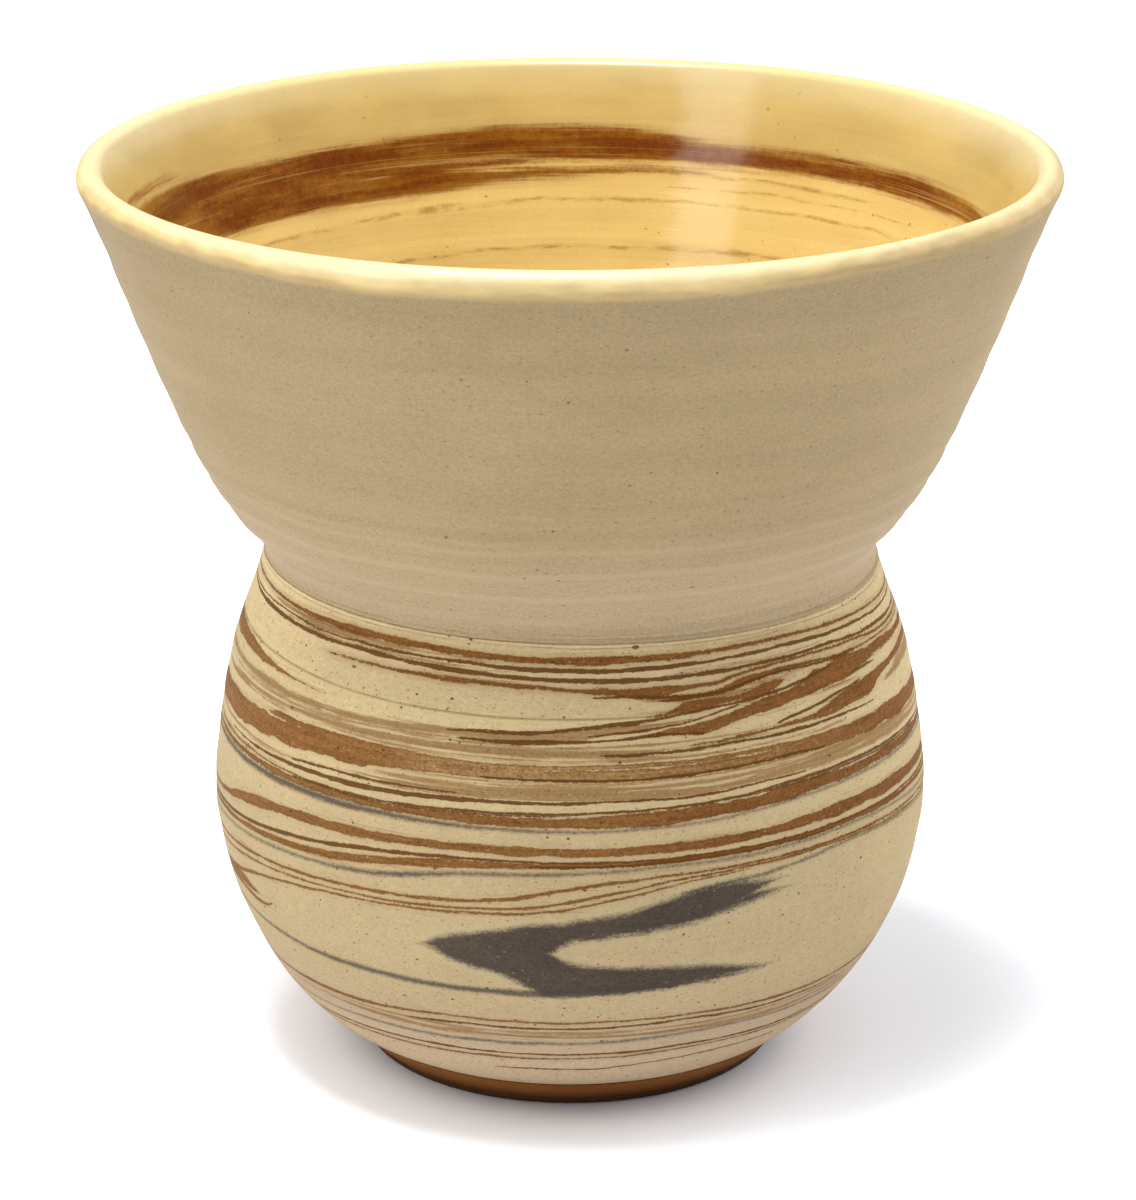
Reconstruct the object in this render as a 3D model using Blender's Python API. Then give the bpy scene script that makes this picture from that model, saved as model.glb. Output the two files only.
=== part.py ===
"""Ceramic mate cup: a wheel-thrown pot with a round marbled bowl, a flared collar and a short turned foot.

Units are metres, +Z is up, and the origin is the centre of the ring the pot stands on.
Every piece is a turned profile swept once round the Z axis.
"""

import bpy
import numpy as np

MM = 0.001
SEGMENTS = 40           # facets round the axis, the same on every piece so that nested skins never cross

# Overall sizes, in millimetres
HEIGHT = 90.9
RIM_RADIUS = 47.5

# Foot
FOOT_RADIUS = 19.9      # outer edge of the face that meets the table
FOOT_TOP_RADIUS = 22.9
FOOT_HEIGHT = 3.0
FOOT_INNER_RADIUS = 15.5
FOOT_EDGE = 0.4         # eased corner at the table

# Bowl, outside
BELLY_RADIUS = 35.65
BELLY_HEIGHT = 27.0
SHOULDER_RADIUS = 33.45
SHOULDER_HEIGHT = 42.5
SEAM_HEIGHT = 51.3      # groove where the collar sits on the bowl
SEAM_RADIUS = 30.45
LOWER_RADIUS = 29.2     # wall a little above the foot
LOWER_HEIGHT = 9.0

# Bowl, inside
FLOOR_HEIGHT = 8.0
FLOOR_RADIUS = 11.0
BOSS_RADIUS = 15.1      # disc under the floor that centres the foot
BOSS_HEIGHT = 1.6
BELLY_WALL = 3.7

# Collar
NECK_RADIUS = 30.4
NECK_HEIGHT = 53.3
KNEE_RADIUS = 36.4      # where the curve out of the neck straightens into the flare
KNEE_HEIGHT = 62.0
MID_RADIUS = 41.9
MID_HEIGHT = 75.0
NECK_WALL = 3.8
KNEE_WALL = 3.4
LIP_THICKNESS = 2.6     # over the glaze

# Lap joint between collar and bowl
LAP_RADIUS = 28.7
LAP_RISE = 1.8

# Coats
GAP = 0.3               # between pieces that meet
SKIN_GAP = 0.1          # between a coat and the clay under it
SLIP = 0.35
GLAZE = 0.35
RIM_GLAZE_DROP = 3.6    # how far the glaze runs down outside the lip
RIM_GLAZE_INSIDE = 3.0  # and down inside it


def clear_scene():
    for obj in list(bpy.data.objects):
        bpy.data.objects.remove(obj, do_unlink=True)


def smooth_line(stations, count):
    """Points on a monotone cubic through (radius, height) stations, evenly spaced in height."""
    z = np.array([s[1] for s in stations], float)
    r = np.array([s[0] for s in stations], float)
    step = np.diff(z)
    rise = np.diff(r) / step
    slope = np.empty(len(z))
    slope[0], slope[-1] = rise[0], rise[-1]
    for i in range(1, len(z) - 1):
        if rise[i - 1] * rise[i] <= 0:
            slope[i] = 0.0
        else:
            a, b = 2 * step[i] + step[i - 1], step[i] + 2 * step[i - 1]
            slope[i] = (a + b) / (a / rise[i - 1] + b / rise[i])
    out = []
    for h in np.linspace(z[0], z[-1], count):
        i = min(np.searchsorted(z, h, side="right") - 1, len(step) - 1)
        t = (h - z[i]) / step[i]
        value = (
            (1 + 2 * t) * (1 - t) ** 2 * r[i]
            + t * (1 - t) ** 2 * step[i] * slope[i]
            + t * t * (3 - 2 * t) * r[i + 1]
            + t * t * (t - 1) * step[i] * slope[i + 1]
        )
        out.append((value, h))
    return out


def offset(line, distance):
    """The line moved sideways: positive is to the right of its direction of travel."""
    p = np.array(line, float)
    d = np.gradient(p, axis=0)
    d /= np.linalg.norm(d, axis=1)[:, None]
    return [tuple(v) for v in p + distance * np.column_stack([d[:, 1], -d[:, 0]])]


def arc(centre, radius, start, end, count):
    """Points on a circular arc in the profile plane, angles in degrees from +radius."""
    angles = np.radians(np.linspace(start, end, count))
    return [(centre[0] + radius * np.cos(a), centre[1] + radius * np.sin(a)) for a in angles]


def material(name, colour, roughness):
    mat = bpy.data.materials.new(name)
    mat.use_nodes = True
    shader = mat.node_tree.nodes["Principled BSDF"]
    shader.inputs["Base Color"].default_value = (*colour, 1.0)
    shader.inputs["Roughness"].default_value = roughness
    shader.inputs["Metallic"].default_value = 0.0
    return mat


def turned(name, profile, mat, closed):
    """A named object swept from a profile that runs down its outer side. A closed profile is a ring."""
    mesh = bpy.data.meshes.new(name)
    verts = [(r * MM, 0.0, z * MM) for r, z in profile]
    edges = [(i, i + 1) for i in range(len(verts) - 1)]
    if closed:
        edges.append((len(verts) - 1, 0))
    mesh.from_pydata(verts, edges, [])
    obj = bpy.data.objects.new(name, mesh)
    bpy.context.scene.collection.objects.link(obj)
    screw = obj.modifiers.new("Turn", "SCREW")
    screw.axis = "Z"
    screw.angle = 2 * np.pi
    screw.steps = screw.render_steps = SEGMENTS
    screw.use_merge_vertices = True
    screw.merge_threshold = 0.00001
    screw.use_smooth_shade = True
    mesh.materials.append(mat)
    return obj


clear_scene()

pot = bpy.data.objects.new("mate_cup", None)
bpy.context.scene.collection.objects.link(pot)

# Outer face of the bowl, from the foot up to the groove
bowl_outer = smooth_line(
    [
        (FOOT_TOP_RADIUS + 0.2, FOOT_HEIGHT + GAP),
        (LOWER_RADIUS, LOWER_HEIGHT),
        (BELLY_RADIUS, BELLY_HEIGHT),
        (SHOULDER_RADIUS, SHOULDER_HEIGHT),
        (SEAM_RADIUS, SEAM_HEIGHT),
    ],
    11,
)

# Inner face of the clay, from the floor up to the lap joint and on to the lip
inner_neck = NECK_RADIUS - NECK_WALL
lap_top = SEAM_HEIGHT + LAP_RISE
bowl_inner = [(FLOOR_RADIUS, FLOOR_HEIGHT)] + smooth_line(
    [
        (FLOOR_RADIUS + 9.0, FLOOR_HEIGHT + 1.6),
        (BELLY_RADIUS - BELLY_WALL - 3.0, 15.5),
        (BELLY_RADIUS - BELLY_WALL, BELLY_HEIGHT + 0.5),
        (SHOULDER_RADIUS - BELLY_WALL, SHOULDER_HEIGHT),
        (inner_neck, lap_top),
    ],
    9,
)

# Finished outer face of the collar: the slip lies on this line and the clay is under it
collar_face = smooth_line(
    [
        (NECK_RADIUS, SEAM_HEIGHT + GAP),
        (NECK_RADIUS + 0.05, NECK_HEIGHT),
        (KNEE_RADIUS, KNEE_HEIGHT),
        (MID_RADIUS, MID_HEIGHT),
        (RIM_RADIUS - 0.3, HEIGHT - LIP_THICKNESS / 2),
    ],
    11,
)
coat = SLIP + SKIN_GAP
lip_clay = LIP_THICKNESS / 2 - GLAZE - SKIN_GAP
lip_centre = (RIM_RADIUS - LIP_THICKNESS / 2, HEIGHT - LIP_THICKNESS / 2)
collar_outer = offset(collar_face, -coat)
collar_outer[0] = (NECK_RADIUS - coat, SEAM_HEIGHT + GAP)
collar_outer[-1] = (lip_centre[0] + lip_clay, lip_centre[1])
collar_inner = smooth_line(
    [
        (inner_neck, lap_top + GAP),
        (inner_neck + 0.25, lap_top + 1.6),
        (KNEE_RADIUS - KNEE_WALL, KNEE_HEIGHT + 0.6),
        (MID_RADIUS - KNEE_WALL + 0.3, MID_HEIGHT),
        (lip_centre[0] - lip_clay, lip_centre[1]),
    ],
    8,
)

marbled = material("marbled_clay", (0.62, 0.47, 0.28), 0.8)
brown = material("brown_clay", (0.23, 0.12, 0.05), 0.8)
pale = material("collar_clay", (0.60, 0.47, 0.30), 0.8)
slip = material("pale_slip", (0.64, 0.53, 0.37), 0.85)
honey = material("honey_glaze", (0.72, 0.52, 0.22), 0.12)
butter = material("rim_glaze", (0.72, 0.57, 0.30), 0.25)

foot = turned(
    "foot_ring",
    [
        (FOOT_TOP_RADIUS, FOOT_HEIGHT),
        (FOOT_RADIUS + FOOT_EDGE * 0.5, FOOT_EDGE),
        (FOOT_RADIUS - FOOT_EDGE, 0.0),
        (FOOT_INNER_RADIUS + FOOT_EDGE, 0.0),
        (FOOT_INNER_RADIUS, FOOT_EDGE),
        (FOOT_INNER_RADIUS, FOOT_HEIGHT),
    ],
    brown,
    True,
)

bowl = turned(
    "marbled_bowl",
    # floor centre, up the inside, over the lap joint, down the outside, under the floor to the centre
    [(0.0, FLOOR_HEIGHT)]
    + bowl_inner
    + [(LAP_RADIUS, lap_top), (LAP_RADIUS, SEAM_HEIGHT)]
    + bowl_outer[::-1]
    + [(BOSS_RADIUS, FOOT_HEIGHT + GAP), (BOSS_RADIUS, BOSS_HEIGHT), (0.0, BOSS_HEIGHT)],
    marbled,
    False,
)

lip_over = arc(lip_centre, lip_clay, 0.0, 180.0, 7)
collar = turned(
    "flared_collar",
    # over the lip from the inside, down the outside, across the lap joint, up the inside
    lip_over[1:-1][::-1]
    + collar_outer[::-1]
    + [(LAP_RADIUS + GAP, SEAM_HEIGHT + GAP), (LAP_RADIUS + GAP, lap_top + GAP)]
    + collar_inner,
    pale,
    True,
)

slip_top = HEIGHT - RIM_GLAZE_DROP - GAP
slip_face = [p for p in collar_face if p[1] < slip_top - 0.8]
slip_end = np.interp(slip_top, [p[1] for p in collar_face], [p[0] for p in collar_face])
slip_face = slip_face + [(float(slip_end), slip_top)]
slip_back = offset(slip_face, -SLIP)
slip_back[0] = (slip_face[0][0] - SLIP, slip_face[0][1])
coat_piece = turned("collar_slip", slip_face[::-1] + slip_back, slip, True)

# Clay side of the inner glaze: the whole inside, floor centre to just under the rim glaze
glaze_top = HEIGHT - RIM_GLAZE_INSIDE - GAP
inside = [(0.0, FLOOR_HEIGHT)] + bowl_inner + [p for p in collar_inner if p[1] < glaze_top - 0.8]
glaze_end = np.interp(glaze_top, [p[1] for p in collar_inner], [p[0] for p in collar_inner])
inside = inside + [(float(glaze_end), glaze_top)]
glaze_back = offset(inside, -SKIN_GAP)
glaze_face = offset(inside, -SKIN_GAP - GLAZE)
glaze_back[0] = (0.0, FLOOR_HEIGHT + SKIN_GAP)
glaze_face[0] = (0.0, FLOOR_HEIGHT + SKIN_GAP + GLAZE)
lining = turned("inner_glaze", glaze_face + glaze_back[::-1], honey, False)

# Rim glaze: a cap over the lip that ends on the slip outside and on the lining inside
drop_z = HEIGHT - RIM_GLAZE_DROP
drop_r = float(np.interp(drop_z, [p[1] for p in collar_outer], [p[0] for p in collar_outer]))
in_z = HEIGHT - RIM_GLAZE_INSIDE
in_r = float(np.interp(in_z, [p[1] for p in collar_inner], [p[0] for p in collar_inner]))
cap_outer = arc(lip_centre, LIP_THICKNESS / 2, 0.0, 180.0, 9)
cap_inner = arc(lip_centre, lip_clay + SKIN_GAP, 0.0, 180.0, 7)
rim = turned(
    "rim_glaze",
    # down the outside from the crest, back up under it, over the lip, down and up the inside
    cap_outer[:5][::-1]
    + [(drop_r + SKIN_GAP + GLAZE, drop_z), (drop_r + SKIN_GAP, drop_z)]
    + cap_inner
    + [(in_r - SKIN_GAP, in_z), (in_r - SKIN_GAP - GLAZE, in_z)]
    + cap_outer[5:][::-1],
    butter,
    True,
)

for piece in (foot, bowl, collar, coat_piece, lining, rim):
    piece.parent = pot
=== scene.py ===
import math

import bpy
import numpy as np
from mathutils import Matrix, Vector


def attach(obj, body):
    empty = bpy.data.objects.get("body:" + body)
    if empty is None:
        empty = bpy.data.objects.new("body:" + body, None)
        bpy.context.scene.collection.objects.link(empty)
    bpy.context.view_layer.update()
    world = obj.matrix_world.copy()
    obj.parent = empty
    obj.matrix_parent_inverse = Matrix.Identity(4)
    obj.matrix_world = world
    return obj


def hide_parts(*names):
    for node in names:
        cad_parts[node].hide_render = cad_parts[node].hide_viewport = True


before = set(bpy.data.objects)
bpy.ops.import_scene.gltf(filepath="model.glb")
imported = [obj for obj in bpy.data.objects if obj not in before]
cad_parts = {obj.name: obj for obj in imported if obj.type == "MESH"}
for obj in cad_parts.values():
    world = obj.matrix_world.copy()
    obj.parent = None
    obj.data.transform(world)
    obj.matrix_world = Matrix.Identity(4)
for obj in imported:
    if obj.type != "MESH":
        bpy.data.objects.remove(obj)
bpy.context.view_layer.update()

MM = 0.001

# ---------------------------------------------------------------------------
# Profile of the pot, in millimetres
# ---------------------------------------------------------------------------
HEIGHT = 90.9
RIM_RADIUS = 47.5
COLUMNS = 448

BOWL_OUT = [(3.2, 22.9), (4.2, 24.7), (5.6, 26.35), (9.0, 29.4), (13.6, 32.15), (20.0, 34.6), (27.2, 35.65),
            (35.0, 34.85), (42.7, 33.3), (47.5, 31.6), (51.3, 30.42), (52.6, 30.3)]
COLLAR_OUT = [(50.0, 30.7), (51.3, 30.42), (52.6, 30.3), (53.6, 30.6), (55.0, 31.65), (56.5, 33.0), (58.6, 34.5),
              (61.8, 36.35), (65.5, 38.05), (70.0, 39.95), (74.6, 41.75), (80.0, 43.8), (85.4, 45.7), (89.6, 47.15)]
INSIDE = [(8.45, 11.0), (8.9, 15.5), (10.2, 20.5), (13.0, 25.6), (17.5, 29.2), (23.0, 31.2), (28.0, 31.5),
          (35.0, 30.9), (42.5, 29.3), (48.0, 27.3), (52.5, 26.2), (54.2, 26.3), (56.2, 27.4), (59.0, 29.8),
          (62.5, 32.3), (68.0, 35.0), (75.0, 38.1), (82.0, 41.25), (87.0, 43.5), (89.6, 44.75), (91.0, 45.42)]


def pchip(xs, ys, at):
    """Monotone cubic through points, straight outside them."""
    x, y = np.asarray(xs, float), np.asarray(ys, float)
    h = np.diff(x)
    d = np.diff(y) / h
    m = np.zeros(len(x))
    m[0], m[-1] = d[0], d[-1]
    same = d[:-1] * d[1:] > 0
    w1, w2 = 2 * h[1:] + h[:-1], h[1:] + 2 * h[:-1]
    safe0, safe1 = np.where(same, d[:-1], 1.0), np.where(same, d[1:], 1.0)
    m[1:-1] = np.where(same, (w1 + w2) / (w1 / safe0 + w2 / safe1), 0.0)
    at = np.asarray(at, float)
    i = np.clip(np.searchsorted(x, at, side="right") - 1, 0, len(h) - 1)
    t = (at - x[i]) / h[i]
    tc = np.clip(t, 0, 1)
    value = ((1 + 2 * tc) * (1 - tc) ** 2 * y[i] + tc * (1 - tc) ** 2 * h[i] * m[i]
             + tc * tc * (3 - 2 * tc) * y[i + 1] + tc * tc * (tc - 1) * h[i] * m[i + 1])
    return value + np.where(t < 0, t * h[i] * m[0], 0) + np.where(t > 1, (t - 1) * h[i] * m[-1], 0)


def smoothed(table, at, width):
    """Radius at a height, from a table of (height, radius) eased over a short length."""
    z, r = [p[0] for p in table], [p[1] for p in table]
    offsets = np.linspace(-1, 1, 9)
    weights = np.cos(offsets * math.pi / 2) ** 2 + 1e-3
    total = sum(w * pchip(z, r, np.asarray(at) + o * width) for o, w in zip(offsets, weights))
    return total / weights.sum()


def smoothstep(a, b, x):
    t = np.clip((x - a) / (b - a), 0, 1)
    return t * t * (3 - 2 * t)


PHI = np.arange(COLUMNS) / COLUMNS * 2 * math.pi - math.pi     # 0 faces the viewer, positive to the right
DEG = np.degrees(PHI)


def seam_height(phi):
    """The incised groove at the neck, a little higher on the left than on the right."""
    return 51.25 - 0.62 * np.sin(phi) + 0.06 * np.sin(3 * phi + 0.6)


def ledge_height(phi):
    """A fine turning line on the shoulder."""
    return pchip([-180, -120, -80, -60, -50, -40, -30, -20, -10, 0, 10, 30, 70, 120, 180],
                 [45.3, 45.8, 45.6, 45.3, 45.1, 44.87, 44.75, 44.65, 44.6, 44.6, 44.6, 44.6, 44.7, 44.9, 45.3], np.degrees(phi))


def ledge_weight(phi):
    d = np.degrees(phi)
    return smoothstep(-88, -62, d) * smoothstep(17, 8, d)


# ---------------------------------------------------------------------------
# Meshes
# ---------------------------------------------------------------------------
def turned(name, radius, height, mat, closed=True, low_pole=None, high_pole=None, share=None):
    """A mesh swept round Z. radius and height are (rows, columns) in millimetres.

    A closed profile joins its last row to its first. A pole closes an end on the axis.
    share gives each row's part of the unwrapped picture.
    """
    rows, cols = radius.shape
    verts = np.stack([radius * np.sin(PHI), -radius * np.cos(PHI), height], -1).reshape(-1, 3)
    a = np.arange(rows * cols).reshape(rows, cols)
    nxt = np.roll(a, -1, axis=1)
    if closed:
        up, upn = np.roll(a, -1, axis=0), np.roll(nxt, -1, axis=0)
        quads = np.stack([a, nxt, upn, up], -1).reshape(-1, 4)
        bands = rows
    else:
        quads = np.stack([a[:-1], nxt[:-1], nxt[1:], a[1:]], -1).reshape(-1, 4)
        bands = rows - 1
    share = np.ones(bands) if share is None else np.asarray(share, float)
    # the length of each band, for an even unwrapping
    r2 = np.vstack([radius, radius[:1]]) if closed else radius
    z2 = np.vstack([height, height[:1]]) if closed else height
    length = np.hypot(np.diff(r2, axis=0), np.diff(z2, axis=0)).mean(1) * share + 1e-6
    poles = []
    if low_pole is not None:
        poles.append((0, low_pole, True))
    if high_pole is not None:
        poles.append((rows - 1, high_pole, False))
    pole_length = 6.0
    v = np.concatenate([[0], np.cumsum(length)])
    total = v[-1] + pole_length * len(poles)
    base = pole_length if low_pole is not None else 0.0
    v = (v + base) / total
    u = np.arange(cols + 1) / cols
    col = np.tile(np.arange(cols), bands)
    row = np.repeat(np.arange(bands), cols)
    uv = np.stack([np.stack([u[col], v[row]], -1), np.stack([u[col + 1], v[row]], -1),
                   np.stack([u[col + 1], v[row + 1]], -1), np.stack([u[col], v[row + 1]], -1)], 1)
    faces = [tuple(q) for q in quads.tolist()]
    uvs = [uv.reshape(-1, 2)]
    points = [verts]
    count = len(verts)
    for ring, z, low in poles:
        points.append(np.array([[0.0, 0.0, z]]))
        for c in range(cols):
            p, q = int(a[ring, c]), int(a[ring, (c + 1) % cols])
            mid = (u[c] + u[c + 1]) / 2
            if low:
                faces.append((q, p, count))
                uvs.append(np.array([[u[c + 1], v[0]], [u[c], v[0]], [mid, 0.0]]))
            else:
                faces.append((p, q, count))
                uvs.append(np.array([[u[c], v[-1]], [u[c + 1], v[-1]], [mid, 1.0]]))
        count += 1
    points = np.vstack(points) * MM
    uvs = np.vstack(uvs)
    # outward if the enclosed volume is positive
    volume = 0.0
    for f in (np.array([t for t in faces if len(t) == 4]), np.array([t for t in faces if len(t) == 3])):
        if len(f):
            for k in range(1, f.shape[1] - 1):
                volume += np.einsum("ij,ij->", points[f[:, 0]], np.cross(points[f[:, k]], points[f[:, k + 1]]))
    mesh = bpy.data.meshes.new(name)
    if volume < 0:
        start = 0
        flipped, order = [], []
        for f in faces:
            flipped.append(tuple(reversed(f)))
            order.extend(range(start + len(f) - 1, start - 1, -1))
            start += len(f)
        faces, uvs = flipped, uvs[order]
    mesh.from_pydata(points.tolist(), [], faces)
    layer = mesh.uv_layers.new(name="OFBake")
    layer.data.foreach_set("uv", uvs.astype(np.float32).ravel())
    mesh.shade_smooth()
    mesh.materials.append(mat)
    obj = bpy.data.objects.new(name, mesh)
    bpy.context.scene.collection.objects.link(obj)
    return obj


def grid(table):
    """Rows of a profile given as (radius, height) pairs, constant round the axis."""
    t = np.asarray(table, float)
    return np.repeat(t[:, :1], COLUMNS, 1), np.repeat(t[:, 1:], COLUMNS, 1)


def add_attribute(obj, name, columns):
    """A vector attribute that depends on the column alone: columns is (COLUMNS, 3)."""
    n = len(obj.data.vertices)
    rows = n // COLUMNS
    data = np.zeros((n, 3), np.float32)
    data[: rows * COLUMNS] = np.tile(columns, (rows, 1))
    layer = obj.data.attributes.new(name, "FLOAT_VECTOR", "POINT")
    layer.data.foreach_set("vector", data.ravel())


# ---------------------------------------------------------------------------
# Shader helpers
# ---------------------------------------------------------------------------
class Nodes:
    def __init__(self, name):
        self.mat = bpy.data.materials.new(name)
        self.mat.use_nodes = True
        self.tree = self.mat.node_tree
        self.tree.nodes.clear()
        self.out = self.tree.nodes.new("ShaderNodeOutputMaterial")
        self.bsdf = self.tree.nodes.new("ShaderNodeBsdfPrincipled")
        self.link(self.bsdf.outputs[0], self.out.inputs[0])
        coord = self.tree.nodes.new("ShaderNodeTexCoord")
        self.pos = self.vec("SCALE", coord.outputs["Object"], scale=1000.0)
        parts = self.tree.nodes.new("ShaderNodeSeparateXYZ")
        self.link(self.pos, parts.inputs[0])
        self.z = parts.outputs[2]
        self.wobble = None

    def link(self, a, b):
        self.tree.links.new(a, b)

    def put(self, socket, value):
        if isinstance(value, bpy.types.NodeSocket):
            self.link(value, socket)
        else:
            socket.default_value = value

    def vec(self, op, a, b=None, scale=None):
        n = self.tree.nodes.new("ShaderNodeVectorMath")
        n.operation = op
        self.put(n.inputs[0], a)
        if b is not None:
            self.put(n.inputs[1], b)
        if scale is not None:
            self.put(n.inputs["Scale"], scale)
        return n.outputs[0]

    def math(self, op, a, b=None, c=None, clamp=False):
        n = self.tree.nodes.new("ShaderNodeMath")
        n.operation = op
        n.use_clamp = clamp
        for s, v in zip(n.inputs, (a, b, c)):
            if v is not None:
                self.put(s, v)
        return n.outputs[0]

    def noise(self, freq, detail=2.0, rough=0.55, offset=(0, 0, 0), distortion=0.0):
        """Noise about zero, roughly -0.5 to 0.5. freq is per millimetre along X, Y and Z."""
        v = self.vec("MULTIPLY", self.pos, freq)
        if any(offset):
            v = self.vec("ADD", v, offset)
        n = self.tree.nodes.new("ShaderNodeTexNoise")
        n.noise_dimensions = "3D"
        self.link(v, n.inputs["Vector"])
        n.inputs["Scale"].default_value = 1.0
        n.inputs["Detail"].default_value = detail
        n.inputs["Roughness"].default_value = rough
        n.inputs["Distortion"].default_value = distortion
        return self.math("SUBTRACT", n.outputs[0], 0.5)

    def specks(self, freq, radius, share, offset=(0, 0, 0)):
        """Uneven dots in random cells: freq cells per millimetre, radius in millimetres, share of the cells used."""
        if self.wobble is None:
            self.wobble = self.noise((4.2, 4.2, 6.0), 1.0, 0.6, (9, 9, 5))
        v = self.vec("MULTIPLY", self.pos, (0.8 * freq, 0.8 * freq, 1.2 * freq))
        if any(offset):
            v = self.vec("ADD", v, offset)
        n = self.tree.nodes.new("ShaderNodeTexVoronoi")
        n.feature = "F1"
        self.link(v, n.inputs["Vector"])
        n.inputs["Scale"].default_value = 1.0
        n.inputs["Randomness"].default_value = 1.0
        c = self.tree.nodes.new("ShaderNodeSeparateColor")
        self.link(n.outputs["Color"], c.inputs[0])
        f = freq
        size = self.math("MULTIPLY_ADD", c.outputs[0], 1.1 * radius * f, 0.35 * radius * f)
        size = self.math("MULTIPLY_ADD", self.wobble, 2.2 * radius * f, size)
        used = self.math("LESS_THAN", c.outputs[1], share)
        inside = self.math("SUBTRACT", size, n.outputs["Distance"])
        dot = self.smooth(inside, -0.12 * radius * f, 0.35 * radius * f)
        return self.math("MULTIPLY", dot, used)

    def marks(self, table, radius_at):
        """Single blemishes: (azimuth, height, half length, half height), each a soft uneven oval."""
        best = None
        for phi, z, wide, tall in table:
            r = float(radius_at(z, math.radians(phi)))
            centre = (r * math.sin(math.radians(phi)), -r * math.cos(math.radians(phi)), z)
            away = self.vec("MULTIPLY", self.vec("SUBTRACT", self.pos, centre), (1 / wide, 1 / wide, 1 / tall))
            n = self.tree.nodes.new("ShaderNodeVectorMath")
            n.operation = "LENGTH"
            self.link(away, n.inputs[0])
            near = self.math("MULTIPLY_ADD", self.wobble, 1.8, self.math("SUBTRACT", 1.0, n.outputs["Value"]))
            best = near if best is None else self.math("MAXIMUM", best, near)
        return self.smooth(best, -0.15, 0.35)

    def smooth(self, value, low, high, out_low=0.0, out_high=1.0):
        n = self.tree.nodes.new("ShaderNodeMapRange")
        n.interpolation_type = "SMOOTHSTEP"
        self.put(n.inputs["Value"], value)
        n.inputs["From Min"].default_value = low
        n.inputs["From Max"].default_value = high
        n.inputs["To Min"].default_value = out_low
        n.inputs["To Max"].default_value = out_high
        return n.outputs[0]

    def mix(self, fac, a, b):
        n = self.tree.nodes.new("ShaderNodeMix")
        n.data_type = "RGBA"
        n.clamp_factor = True
        self.put(n.inputs[0], fac)
        for s, v in ((n.inputs[6], a), (n.inputs[7], b)):
            self.put(s, v if isinstance(v, bpy.types.NodeSocket) else (*v, 1.0))
        return n.outputs[2]

    def scale_colour(self, colour, factor):
        n = self.tree.nodes.new("ShaderNodeVectorMath")
        n.operation = "SCALE"
        self.link(colour, n.inputs[0])
        self.put(n.inputs["Scale"], factor)
        return n.outputs[0]

    def attribute(self, name):
        n = self.tree.nodes.new("ShaderNodeAttribute")
        n.attribute_type = "GEOMETRY"
        n.attribute_name = name
        return n.outputs["Vector"]

    def veins(self, names, z, widen):
        """How deep a point lies in the nearest of the veins held in these attribute pairs, in millimetres."""
        level = self.tree.nodes.new("ShaderNodeCombineXYZ")
        for s in level.inputs:
            self.link(z, s)
        best = None
        for name in names:
            centre, half = self.attribute(name + "_z"), self.attribute(name + "_w")
            away = self.vec("ABSOLUTE", self.vec("SUBTRACT", level.outputs[0], centre))
            wide = self.vec("SCALE", half, scale=widen) if widen is not None else half
            depth = self.vec("SUBTRACT", wide, away)
            parts = self.tree.nodes.new("ShaderNodeSeparateXYZ")
            self.link(depth, parts.inputs[0])
            for s in parts.outputs:
                best = s if best is None else self.math("MAXIMUM", best, s)
        return best

    def bump(self, height_mm, strength=1.0, normal=None):
        n = self.tree.nodes.new("ShaderNodeBump")
        n.inputs["Strength"].default_value = strength
        n.inputs["Distance"].default_value = MM
        self.link(height_mm, n.inputs["Height"])
        if normal is not None:
            self.link(normal, n.inputs["Normal"])
        return n.outputs[0]

    def finish(self, colour, roughness, normal=None, specular=0.3):
        self.put(self.bsdf.inputs["Base Color"], colour)
        self.put(self.bsdf.inputs["Roughness"], roughness)
        self.bsdf.inputs["Specular IOR Level"].default_value = specular
        if normal is not None:
            self.link(normal, self.bsdf.inputs["Normal"])
        return self.mat


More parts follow.
